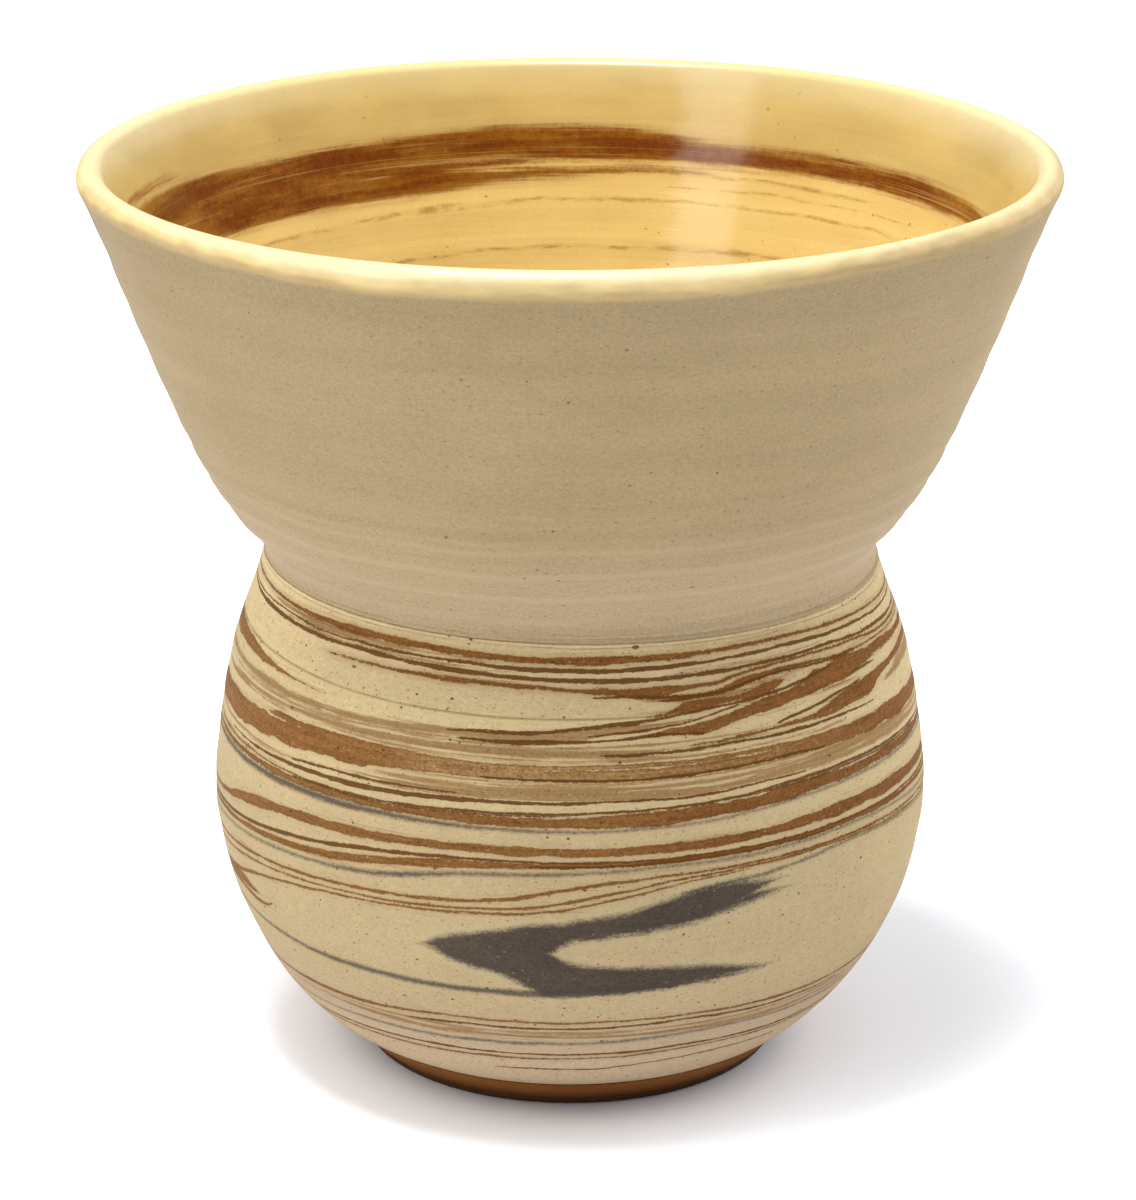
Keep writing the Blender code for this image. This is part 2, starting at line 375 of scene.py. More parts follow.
# ---------------------------------------------------------------------------
# Veins in the marbled clay: (azimuth in degrees, height in mm, half width in mm)
# Azimuth 0 faces the viewer, positive is to the right, and 180 is the back.
# ---------------------------------------------------------------------------
ROUND = True      # goes all the way round
BROWN = [
    (False, [(-150, 44.2, .05), (-125, 44.6, .35), (-105, 44.85, .6), (-92, 44.9, .72), (-84, 44.85, .72), (-76, 44.75, .62), (-70, 44.65, .52),
             (-64, 44.5, .36), (-60, 44.4, .22), (-56, 44.28, .12), (-51, 44.15, .05), (-46, 44.05, .0)]),
    (ROUND, [(-80, 50.45, .08), (-60, 50.2, .13), (-50, 50.2, .22), (-40, 50.25, .29), (-30, 50.2, .3), (-20, 50.0, .26),
             (-10, 49.87, .28), (0, 49.75, .31), (10, 49.75, .29), (20, 49.72, .22), (30, 49.75, .15), (40, 49.7, .14),
             (50, 49.45, .11), (60, 49.2, .09), (70, 48.85, .08), (85, 48.6, .09), (130, 48.9, .2), (180, 49.6, .3), (230, 50.3, .16)]),
    (False, [(-46, 47.6, .03), (-40, 47.65, .07), (-30, 47.65, .11), (-20, 47.6, .18), (-10, 47.45, .19), (-5, 47.35, .13), (0, 47.15, .15),
             (5, 47.0, .26), (10, 46.9, .34), (15, 46.8, .42), (20, 46.9, .2), (25, 46.95, .12), (30, 47.3, .1), (40, 47.5, .1),
             (50, 47.35, .09), (60, 47.0, .1), (66, 46.6, .1), (80, 46.2, .09), (120, 45.6, .14), (165, 46.2, .3), (200, 46.9, .16), (230, 47.2, .02)]),
    (False, [(14, 46.3, .1), (18, 46.25, .12), (22, 46.15, .12), (26, 46.3, .15), (30, 46.6, .25), (35, 46.8, .25),
             (40, 46.85, .16), (45, 46.75, .1), (50, 46.55, .08), (55, 46.4, .08), (62, 46.2, .07), (75, 45.9, .05), (100, 45.4, .03)]),
    (False, [(13, 44.65, .05), (16, 44.8, .12), (18, 45.05, .3), (20, 45.25, .45), (23, 45.35, .35), (26, 45.4, .25),
             (28.5, 45.35, .18), (31, 45.4, .3), (34, 45.55, .38), (36.5, 45.75, .3), (38.5, 45.9, .04)]),
    (False, [(13, 43.0, .08), (15, 43.15, .2), (17, 43.25, .32), (20, 43.2, .5), (23, 43.3, .58), (26, 43.55, .52), (30, 43.95, .55), (35, 44.3, .5),
             (40, 44.5, .45), (43, 44.8, .68), (46, 45.12, .93), (50, 45.15, .88), (55, 45.2, .78), (60, 45.2, .64),
             (65, 45.3, .4), (70, 45.25, .35), (75, 45.05, .3), (80, 44.9, .27), (95, 44.4, .35), (120, 43.8, .6), (145, 43.9, .4), (170, 44.6, .06)]),
    (False, [(20, 41.75, .04), (25, 41.8, .1), (30, 41.9, .14), (35, 42.0, .14), (40, 42.0, .18), (45, 42.0, .3), (48, 42.2, .5),
             (52, 42.4, .68), (56, 42.6, .78), (60, 42.75, .72), (63, 43.0, .52), (66, 43.2, .36), (70, 43.3, .28), (80, 43.4, .3), (100, 42.6, .45),
             (130, 41.8, .25), (150, 41.6, .05)]),
    (ROUND, [(-95, 38.2, .9), (-80, 38.55, 1.05), (-70, 38.6, 1.1), (-60, 38.85, 1.02), (-50, 39.15, 1.0), (-40, 39.3, .95),
             (-33, 39.4, .75), (-27, 39.5, .5), (-20, 39.62, .4), (-10, 39.62, .45), (0, 39.55, .48), (10, 39.5, .5), (20, 39.5, .46),
             (30, 39.58, .42), (40, 39.65, .5), (50, 39.4, .62), (60, 39.15, .72), (70, 38.9, .78), (80, 38.6, .7), (100, 38.2, .55),
             (140, 37.6, .8), (180, 37.9, 1.25), (220, 38.3, .7)]),
    (False, [(-58, 40.2, .1), (-55, 40.4, .32), (-50, 40.42, .36), (-40, 40.45, .38), (-30, 40.4, .38), (-20, 40.35, .28),
             (-10, 40.25, .24), (0, 40.3, .2), (10, 40.35, .18), (20, 40.25, .18), (30, 40.3, .2), (40, 40.2, .14), (50, 40.0, .1), (62, 39.9, .05)]),
    (ROUND, [(-90, 34.8, .12), (-80, 34.9, .15), (-70, 34.95, .2), (-60, 35.0, .22), (-50, 35.02, .27), (-40, 35.1, .3), (-30, 35.1, .27),
             (-20, 35.15, .3), (-10, 35.15, .35), (0, 35.2, .46), (10, 35.3, .55), (20, 35.45, .6), (30, 35.6, .6), (40, 35.75, .56),
             (50, 35.75, .5), (60, 35.6, .45), (70, 35.4, .4), (80, 35.2, .36), (100, 34.8, .3), (140, 34.3, .5), (185, 34.6, .25), (225, 35.1, .4)]),
    (False, [(-100, 28.0, .05), (-80, 29.1, .14), (-72, 29.6, .2), (-68, 30.1, .35), (-64, 30.6, .45), (-60, 31.0, .5), (-55, 31.4, .45),
             (-50, 31.75, .42), (-45, 31.9, .42), (-40, 31.95, .44), (-30, 32.2, .36), (-20, 32.35, .35), (-10, 32.4, .4), (0, 32.4, .38),
             (10, 32.4, .4), (20, 32.45, .4), (30, 32.5, .4), (40, 32.6, .48), (50, 32.6, .55), (60, 32.45, .55), (70, 32.2, .5), (80, 31.9, .4),
             (100, 31.2, .3), (135, 30.4, .5), (160, 30.5, .7), (185, 31.0, .35), (205, 31.6, .05)]),
    (ROUND, [(-85, 27.4, .14), (-75, 27.6, .18), (-65, 27.9, .2), (-60, 28.15, .22), (-55, 28.35, .25), (-50, 28.55, .28), (-45, 28.85, .3),
             (-40, 29.1, .35), (-35, 29.5, .35), (-30, 29.95, .35), (-25, 30.3, .32), (-20, 30.6, .33), (-15, 30.85, .28), (-10, 31.0, .25),
             (-5, 31.1, .2), (0, 31.2, .24), (10, 31.2, .2), (20, 31.3, .22), (30, 31.25, .22), (40, 31.2, .2), (50, 31.15, .22),
             (60, 30.9, .22), (70, 30.6, .2), (80, 30.2, .18), (110, 29.0, .12), (150, 27.4, .3), (190, 26.6, .2), (230, 26.9, .35)]),
    (False, [(-110, 19.4, .05), (-95, 20.1, .3), (-85, 20.6, .5), (-75, 21.2, .6), (-70, 21.35, .68), (-66, 21.25, .5), (-63, 20.95, .3), (-61, 20.9, .06)]),
    (False, [(-74, 20.5, .2), (-68, 20.3, .25), (-62, 20.0, .2), (-58.5, 20.2, .14), (-56.5, 20.8, .03)]),
    (False, [(-72, 21.8, .2), (-68, 22.1, .24), (-64, 22.7, .18), (-60, 23.3, .13), (-55, 23.9, .12), (-50, 24.4, .1), (-45, 24.8, .1),
             (-40, 25.2, .09), (-35, 25.4, .08), (-30, 25.6, .08), (-25, 25.8, .09), (-20, 25.95, .09), (-15, 26.1, .08), (-10, 26.25, .09),
             (-5, 26.55, .1), (0, 26.9, .11), (5, 27.55, .1), (10, 28.1, .09), (15, 28.7, .07), (20, 29.15, .05), (28, 29.35, .03)]),
    (ROUND, [(-85, 24.6, .09), (-75, 24.9, .11), (-70, 25.1, .12), (-60, 25.6, .12), (-50, 26.0, .13), (-40, 26.4, .13), (-30, 26.75, .12),
             (-20, 27.1, .12), (-15, 27.35, .14), (-10, 27.7, .14), (-5, 28.3, .16), (0, 28.9, .15), (5, 29.35, .13), (10, 29.6, .11),
             (15, 29.8, .09), (20, 29.85, .08), (30, 29.9, .07), (40, 29.85, .08), (50, 29.7, .07), (60, 29.5, .06), (80, 28.7, .08),
             (110, 27.2, .1), (150, 25.2, .16), (190, 24.0, .3), (230, 24.0, .12)]),
    (ROUND, [(-85, 23.3, .07), (-75, 23.8, .09), (-70, 24.1, .1), (-60, 24.8, .1), (-50, 25.3, .08), (-40, 25.75, .06), (-30, 26.0, .08),
             (-25, 26.2, .1), (-20, 26.35, .1), (-10, 26.75, .1), (-5, 27.1, .14), (0, 27.6, .14), (5, 28.2, .12), (10, 28.7, .1),
             (15, 29.2, .09), (20, 29.45, .07), (30, 29.6, .06), (40, 29.6, .06), (50, 29.4, .05), (80, 28.2, .05), (120, 26.0, .08), (170, 23.4, .12), (220, 22.6, .08)]),
    (ROUND, [(-80, 12.3, .1), (-60, 12.6, .12), (-50, 12.75, .15), (-40, 12.95, .18), (-35, 13.1, .15), (-30, 13.35, .13), (-25, 13.6, .11),
             (-20, 13.8, .09), (-10, 13.85, .09), (0, 13.8, .09), (5, 13.95, .1), (10, 13.9, .09), (20, 13.95, .09), (30, 13.75, .09), (40, 13.6, .09),
             (50, 13.45, .09), (60, 13.4, .1), (75, 13.3, .12), (120, 13.9, .2), (180, 14.6, .12), (230, 13.2, .2)]),
    (ROUND, [(-60, 7.9, .05), (-50, 8.1, .07), (-40, 8.35, .08), (-30, 8.5, .09), (-20, 8.6, .1), (-15, 8.75, .11), (-10, 8.75, .09),
             (0, 8.85, .06), (10, 8.9, .07), (20, 9.15, .06), (30, 9.1, .06), (40, 8.9, .06), (70, 8.7, .08), (120, 9.2, .1), (180, 9.6, .14), (240, 8.4, .08)]),
]
DARK = [
    (ROUND, [(-75, 49.4, .03), (-60, 49.35, .04), (-50, 49.25, .05), (-40, 49.3, .06), (-30, 49.25, .07), (-20, 49.2, .07), (-10, 49.0, .10),
             (0, 48.9, .11), (10, 48.8, .11), (20, 48.85, .09), (30, 48.9, .08), (40, 48.9, .08), (50, 48.65, .08), (60, 48.45, .07), (70, 48.1, .06),
             (85, 47.8, .05), (130, 47.6, .08), (180, 48.4, .1), (230, 49.2, .05)]),
    (ROUND, [(-85, 49.1, .05), (-70, 48.85, .11), (-60, 48.75, .1), (-50, 48.65, .09), (-40, 48.75, .11), (-30, 48.6, .1), (-20, 48.4, .1), (-10, 48.2, .09),
             (0, 48.0, .11), (10, 47.9, .11), (20, 47.85, .09), (30, 47.85, .08), (40, 47.8, .08), (50, 47.75, .07), (60, 47.35, .08), (70, 47.0, .08),
             (85, 46.6, .06), (130, 46.5, .09), (180, 47.4, .12), (230, 48.7, .06)]),
    (False, [(4, 46.52, .02), (8, 46.5, .05), (12, 46.4, .08), (15, 46.3, .05), (20, 46.2, .06), (25, 46.1, .08), (28, 46.2, .08), (32, 46.5, .06), (38, 46.7, .05), (48, 46.4, .05), (58, 46.2, .04)]),
    (False, [(15, 45.9, .04), (20, 46.0, .08), (25, 46.05, .08), (28, 46.15, .08), (31, 46.4, .05)]),
    (False, [(-20, 43.2, .05), (-14, 43.35, .08), (-8, 43.4, .09), (-3, 43.6, .09), (2, 43.95, .09), (6, 44.15, .09), (10, 44.3, .09),
             (14, 44.45, .08), (18, 44.65, .07), (22, 44.8, .06), (26, 44.95, .05), (30, 45.0, .08), (34, 45.1, .07), (40, 45.3, .06), (45, 45.6, .06), (50, 45.95, .05)]),
    (False, [(-18, 42.55, .04), (-10, 42.5, .1), (-5, 42.6, .12), (0, 42.7, .08), (5, 42.75, .07), (10, 42.85, .07), (14, 43.05, .09), (18, 42.9, .06), (22, 42.75, .05)]),
    (False, [(3, 43.2, .03), (7, 43.4, .06), (11, 43.5, .07), (15, 43.7, .05), (20, 43.95, .03), (25, 44.4, .04), (29, 44.8, .03)]),
    (False, [(55, 44.45, .06), (60, 44.45, .08), (63.5, 44.35, .02)]),
    (False, [(36, 42.4, .04), (40, 42.7, .06), (45, 42.95, .06), (50, 43.25, .05), (57, 43.5, .03)]),
    (False, [(5, 41.4, .04), (12, 41.35, .07), (20, 41.35, .06), (26, 41.45, .07), (32, 41.35, .06), (40, 41.3, .08), (50, 41.2, .06), (60, 41.0, .03)]),
    (False, [(-14, 39.15, .05), (-5, 39.12, .06), (5, 39.1, .06), (15, 39.08, .07), (25, 39.15, .07), (35, 39.2, .06), (45, 38.9, .05)]),
    (False, [(-50, 36.95, .04), (-45, 37.15, .06), (-40, 37.3, .07), (-34, 37.3, .07), (-28, 37.4, .05), (-18, 37.5, .03)]),
    (False, [(-72, 36.15, .03), (-60, 36.2, .06), (-50, 36.35, .1), (-45, 36.4, .12), (-40, 36.45, .13), (-35, 36.5, .12), (-30, 36.65, .12), (-25, 36.75, .1), (-20, 36.85, .11), (-15, 36.95, .1),
             (-10, 37.0, .09), (0, 37.05, .07), (10, 37.15, .06), (20, 37.1, .06), (30, 37.3, .04), (40, 37.3, .02)]),
    (ROUND, [(-60, 35.55, .02), (-40, 35.5, .04), (-30, 35.62, .06), (-20, 35.8, .07), (-10, 35.95, .06), (0, 36.05, .06), (10, 36.2, .06), (20, 36.3, .06), (30, 36.5, .07),
             (40, 36.75, .08), (50, 36.75, .08), (60, 36.5, .08), (70, 36.2, .07), (80, 35.9, .06), (120, 35.4, .08), (180, 35.8, .05), (240, 36.0, .06)]),
    (False, [(-50, 35.32, .03), (-30, 35.45, .04), (-20, 35.57, .04), (-10, 35.75, .03), (0, 35.9, .02)]),
    (False, [(25, 36.3, .02), (32, 36.38, .04), (40, 36.47, .05), (50, 36.47, .05), (60, 36.2, .05), (75, 35.8, .03)]),
    (ROUND, [(-80, 28.0, .07), (-70, 28.3, .09), (-60, 28.8, .1), (-50, 29.5, .1), (-45, 29.85, .1), (-40, 30.2, .11), (-35, 30.6, .11), (-30, 30.85, .1),
             (-25, 31.05, .09), (-20, 31.25, .08), (-10, 31.4, .06), (0, 31.42, .05), (10, 31.45, .05), (20, 31.43, .05), (30, 31.42, .04), (60, 31.2, .05),
             (110, 29.6, .07), (160, 28.2, .09), (220, 27.4, .05)]),
    (False, [(-6, 31.0, .04), (0, 31.03, .06), (10, 31.08, .06), (14, 31.15, .06), (20, 31.1, .05), (30, 31.08, .05), (45, 31.0, .04)]),
    (ROUND, [(-60, 8.4, .03), (-50, 8.7, .05), (-40, 9.0, .06), (-30, 9.25, .06), (-20, 9.35, .06), (-10, 9.4, .05), (0, 9.45, .05), (10, 9.5, .06),
             (20, 9.65, .06), (30, 9.55, .06), (40, 9.4, .06), (60, 9.2, .05), (120, 9.8, .05), (180, 10.3, .07), (240, 9.0, .04)]),
    (False, [(-15, 6.9, .03), (-5, 7.05, .05), (0, 7.05, .04), (5, 7.0, .05), (10, 7.3, .04), (20, 7.6, .04), (30, 7.7, .04), (45, 7.5, .03)]),
    (False, [(-30, 12.5, .03), (-20, 12.9, .06), (-15, 13.0, .07), (-10, 13.0, .06), (0, 13.05, .06), (10, 13.15, .06), (20, 13.35, .07), (30, 13.1, .06), (40, 12.9, .05), (55, 12.75, .03)]),
]
PALE = [
    (False, [(-76, 42.1, .04), (-66, 42.1, .1), (-54, 42.05, .14), (-42, 42.15, .14), (-31, 42.4, .12), (-20, 42.55, .04)]),
    (False, [(-66, 49.75, .05), (-55, 49.7, .15), (-45, 49.75, .17), (-35, 49.72, .15), (-25, 49.6, .11), (-12, 49.4, .05)]),
    (False, [(-60, 49.05, .04), (-50, 48.98, .12), (-40, 49.03, .14), (-30, 48.93, .13), (-20, 48.8, .1), (-8, 48.6, .04)]),
    (False, [(13, 46.0, .03), (17, 45.95, .14), (23, 45.78, .24), (30, 45.85, .22), (36, 46.08, .15), (40, 46.25, .08), (46, 46.4, .03)]),
    (False, [(18, 48.1, .05), (25, 48.15, .1), (32, 48.2, .15), (40, 48.15, .15), (48, 48.1, .08), (56, 47.9, .04)]),
    (ROUND, [(-80, 42.7, .2), (-70, 42.72, .28), (-60, 42.65, .32), (-50, 42.7, .32), (-40, 42.75, .3), (-30, 42.9, .3), (-20, 43.0, .3), (-10, 43.0, .36),
             (0, 43.3, .4), (5, 43.6, .36), (10, 43.85, .26), (15, 44.05, .15), (20, 44.15, .08), (25, 44.5, .05), (32, 44.7, .02), (60, 43.6, .02), (100, 42.4, .2), (150, 41.9, .4), (200, 42.2, .3), (240, 42.5, .2)]),
    (False, [(-92, 40.9, .05), (-80, 41.0, .16), (-67, 41.35, .24), (-55, 41.4, .24), (-46, 41.65, .28), (-36, 41.6, .3), (-30, 41.7, .3), (-20, 41.7, .3), (-10, 41.65, .34), (0, 41.6, .3), (10, 41.55, .22),
             (15, 41.45, .16), (20, 41.45, .12), (30, 41.6, .1), (40, 41.6, .08)]),
    (False, [(66, 42.0, .1), (70, 42.2, .3), (75, 42.4, .4), (82, 42.4, .4), (95, 41.8, .25), (110, 41.2, .05)]),
    (False, [(-32, 38.3, .08), (-25, 38.2, .2), (-20, 38.3, .22), (-10, 38.25, .22), (0, 38.2, .25), (10, 38.3, .2), (20, 38.35, .2), (30, 38.4, .22), (40, 38.35, .22), (50, 38.25, .34), (62, 38.05, .34), (72, 37.7, .24), (85, 37.3, .08)]),
    (ROUND, [(-80, 37.0, .12), (-70, 36.9, .15), (-60, 36.8, .14), (-50, 37.0, .1), (-40, 37.45, .08), (-30, 37.7, .15), (-20, 37.72, .28), (-10, 37.75, .3), (0, 37.7, .3), (10, 37.6, .26), (20, 37.6, .22),
             (30, 37.72, .24), (40, 37.75, .3), (50, 37.6, .34), (60, 37.4, .32), (70, 37.1, .28), (80, 36.9, .18), (120, 36.2, .2), (180, 36.3, .3), (240, 36.9, .2)]),
    (False, [(-80, 35.5, .2), (-60, 35.6, .12), (-45, 35.4, .06)]),
    (False, [(-40, 41.15, .04), (-25, 41.05, .1), (-10, 40.95, .12), (5, 40.95, .1), (20, 40.85, .12), (35, 40.8, .1), (50, 40.6, .04)]),
    (False, [(-30, 38.9, .04), (-18, 38.85, .1), (-5, 38.8, .12), (10, 38.8, .1), (25, 38.85, .12), (40, 38.85, .08), (55, 38.5, .03)]),
    (False, [(-36, 37.15, .03), (-22, 37.25, .08), (-8, 37.35, .1), (6, 37.3, .08), (22, 37.35, .1), (38, 37.45, .08), (55, 37.2, .03)]),
    (False, [(-28, 42.25, .04), (-15, 42.2, .12), (0, 42.15, .12), (12, 42.2, .1), (25, 42.2, .06), (36, 42.3, .03)]),
    (False, [(26, 29.75, .06), (35, 29.7, .18), (45, 29.62, .2), (55, 29.4, .17), (65, 29.0, .14), (75, 28.4, .12), (90, 27.6, .05)]),
    (False, [(-50, 12.2, .05), (-35, 12.4, .12), (-20, 12.4, .16), (0, 12.45, .16), (15, 12.5, .15), (30, 12.4, .12), (50, 12.3, .1), (70, 12.1, .05)]),
    (False, [(-60, 11.6, .1), (-30, 11.8, .2), (0, 11.9, .15), (30, 11.9, .2), (60, 11.7, .1)]),
]
GREY = [
    (ROUND, [(-90, 34.25, .16), (-75, 34.3, .24), (-60, 34.3, .3), (-50, 34.35, .34), (-40, 34.4, .32), (-30, 34.45, .26), (-20, 34.42, .2), (-10, 34.4, .14), (0, 34.35, .1), (10, 34.45, .08),
             (20, 34.5, .06), (30, 34.75, .07), (40, 35.0, .08), (50, 35.05, .1), (60, 34.9, .11), (70, 34.75, .1), (80, 34.5, .1), (110, 33.9, .1), (150, 33.4, .2), (190, 33.8, .1), (240, 34.2, .15)]),
    (ROUND, [(-90, 26.0, .05), (-80, 26.5, .07), (-70, 26.9, .08), (-60, 27.3, .1), (-50, 27.7, .11), (-40, 28.05, .15), (-35, 28.3, .18), (-30, 28.6, .23), (-25, 29.1, .26), (-20, 29.6, .18),
             (-15, 29.95, .13), (-10, 30.15, .13), (-5, 30.25, .13), (0, 30.4, .1), (5, 30.5, .08), (10, 30.65, .08), (15, 30.75, .08), (20, 30.7, .08), (30, 30.65, .08), (40, 30.75, .08),
             (50, 30.7, .08), (60, 30.35, .08), (70, 29.85, .08), (80, 29.3, .08), (120, 27.4, .12), (160, 25.6, .3), (200, 25.0, .12), (240, 25.4, .1)]),
    (False, [(18, 27.9, .1), (22, 28.2, .16), (26, 28.4, .17), (30, 28.5, .15), (35, 28.7, .13), (40, 28.9, .11), (45, 29.12, .1), (50, 29.15, .08), (55, 29.05, .07), (60, 28.85, .07), (65, 28.6, .06), (72, 28.2, .04), (95, 27.0, .02)]),
    (False, [(-100, 19.0, .0), (-90, 18.7, .05), (-80, 18.4, .08), (-70, 18.1, .12), (-60, 17.85, .15), (-50, 17.65, .2), (-40, 17.5, .25), (-30, 17.5, .28), (-20, 17.45, .31), (-10, 17.5, .36),
             (-5, 17.5, .42), (0, 17.6, .45), (5, 17.7, .45), (10, 17.8, .36), (15, 17.95, .26), (20, 18.05, .16), (25, 18.2, .03)]),
    (ROUND, [(-60, 10.0, .02), (-50, 10.2, .05), (-40, 10.5, .08), (-30, 10.65, .1), (-20, 10.75, .14), (-15, 10.95, .15), (-10, 10.9, .14), (-5, 11.05, .14), (0, 11.0, .12), (5, 11.1, .12), (10, 11.2, .13),
             (20, 11.4, .1), (30, 11.45, .08), (40, 11.25, .08), (50, 11.1, .07), (60, 11.0, .05), (120, 11.4, .04), (180, 12.2, .1), (240, 10.6, .05)]),
]
# the wide grey fold, two arms that meet on the left, and a second one on the far side
FOLD = [
    (False, [(-25, 22.1, -.7), (-23.4, 22.15, -.15), (-21.8, 22.22, .4), (-20, 22.3, .78), (-17, 22.6, 1.0), (-14, 22.85, 1.2), (-10, 23.15, 1.4), (-6, 23.4, 1.75), (-4, 23.5, 1.75), (-2.5, 23.85, 1.4), (-1, 24.2, 1.1), (0, 24.5, 1.0),
             (5, 24.9, 1.05), (10, 25.3, 1.2), (15, 25.9, 1.45), (20, 26.5, 1.55), (24, 26.9, 1.4), (27, 27.15, .95), (29.5, 27.35, .55), (31.5, 27.5, .25), (33, 27.6, -.05)]),
    (False, [(25, 26.0, .3), (28, 26.35, .5), (30, 26.5, .3), (32.5, 26.55, .08), (34.5, 26.6, -.1)]),
    (False, [(-23, 21.9, -.1), (-20, 21.7, .55), (-17, 21.5, 1.0), (-14, 21.3, 1.15), (-10, 20.95, 1.5), (-8, 20.6, 1.8), (-6, 20.3, 2.3), (-4, 19.95, 2.6), (-2.5, 19.65, 2.35), (-1, 19.35, 2.0), (1, 19.2, 1.75),
             (5, 19.05, 1.52), (10, 18.95, 1.36), (15, 18.9, 1.2), (20, 18.9, .95), (25, 18.75, .6), (28, 18.55, .38), (30, 18.45, .18), (33, 18.4, -.05)]),
    (False, [(128, 20.6, -.05), (134, 20.9, .5), (142, 21.2, 1.0), (150, 21.0, 1.3), (160, 20.3, 1.1), (172, 19.6, .8), (185, 19.2, .45), (200, 18.9, .2), (225, 18.9, .05), (255, 19.0, .0)]),
    (False, [(132, 20.3, -.05), (140, 20.1, .5), (150, 19.3, .9), (160, 18.2, .95), (172, 17.2, .7), (186, 16.7, .35), (196, 16.6, -.02)]),
]


def vein_columns(vein):
    """Centre height and half width of one vein at every column."""
    whole, points = vein
    p = sorted((float(a), float(z), float(w)) for a, z, w in points)
    a = np.array([q[0] for q in p])
    z = np.array([q[1] for q in p])
    w = np.array([q[2] for q in p])
    if whole:
        aa = np.concatenate([a - 360, a, a + 360])
        return pchip(aa, np.tile(z, 3), DEG), pchip(aa, np.tile(w, 3), DEG)
    best_z, best_w = np.full(COLUMNS, z[0]), np.full(COLUMNS, -9.0)
    for turn in (-360, 0, 360):
        at = DEG + turn
        zc = pchip(a, z, np.clip(at, a[0], a[-1]))
        wc = pchip(a, w, np.clip(at, a[0], a[-1]))
        out = np.maximum(np.maximum(a[0] - at, at - a[-1]), 0)
        wc = wc - 0.12 * out
        use = wc > best_w
        best_z, best_w = np.where(use, zc, best_z), np.where(use, wc, best_w)
    return best_z, best_w


def store_veins(obj, name, veins):
    """Packs the veins three to an attribute pair, and gives the pairs' names."""
    names = []
    for i in range(0, len(veins), 3):
        zs, ws = np.zeros((COLUMNS, 3)), np.full((COLUMNS, 3), -9.0)
        for j, vein in enumerate(veins[i:i + 3]):
            zs[:, j], ws[:, j] = vein_columns(vein)
        key = f"{name}{i // 3}"
        add_attribute(obj, key + "_z", zs)
        add_attribute(obj, key + "_w", ws)
        names.append(key)
    return names


def pair_names(name, veins):
    return [f"{name}{i // 3}" for i in range(0, len(veins), 3)]


# ---------------------------------------------------------------------------
# Materials
# ---------------------------------------------------------------------------
CREAM = (0.394, 0.303, 0.1610)
CREAM_WARM = (0.352, 0.262, 0.1410)
# the lighter cream is painted light, for the front-left band of the shoulder
CREAM_PAINTED_LIGHT = (0.455, 0.362, 0.1750)
BROWN_A = (0.200, 0.091, 0.0235)
BROWN_B = (0.140, 0.054, 0.0110)
WORN = (0.250, 0.152, 0.0600)
DARK_A = (0.090, 0.033, 0.0045)
PALE_A = (0.215, 0.112, 0.0350)
PALE_B = (0.158, 0.072, 0.0180)
GREY_A = (0.050, 0.037, 0.0275)
GREY_B = (0.039, 0.029, 0.0220)
GREY_LINE = (0.085, 0.074, 0.0610)
FRINGE = (0.350, 0.300, 0.1780)


# single blemishes that show: (azimuth, height, half length, half height)
BOWL_MARKS = [(11.6, 50.85, 0.34, 0.16), (-17.6, 51.3, 0.18, 0.12), (-39.8, 47.0, 0.26, 0.14)]
SLIP_MARKS = [(19.6, 57.3, 0.30, 0.08), (-6.8, 59.1, 0.18, 0.08), (-1.6, 58.9, 0.20, 0.09), (19.3, 70.1, 0.12, 0.12),
              (-4.9, 80.3, 0.12, 0.10), (-12.6, 80.2, 0.12, 0.10), (-2.3, 64.5, 0.12, 0.12), (-4.1, 54.2, 0.10, 0.10)]


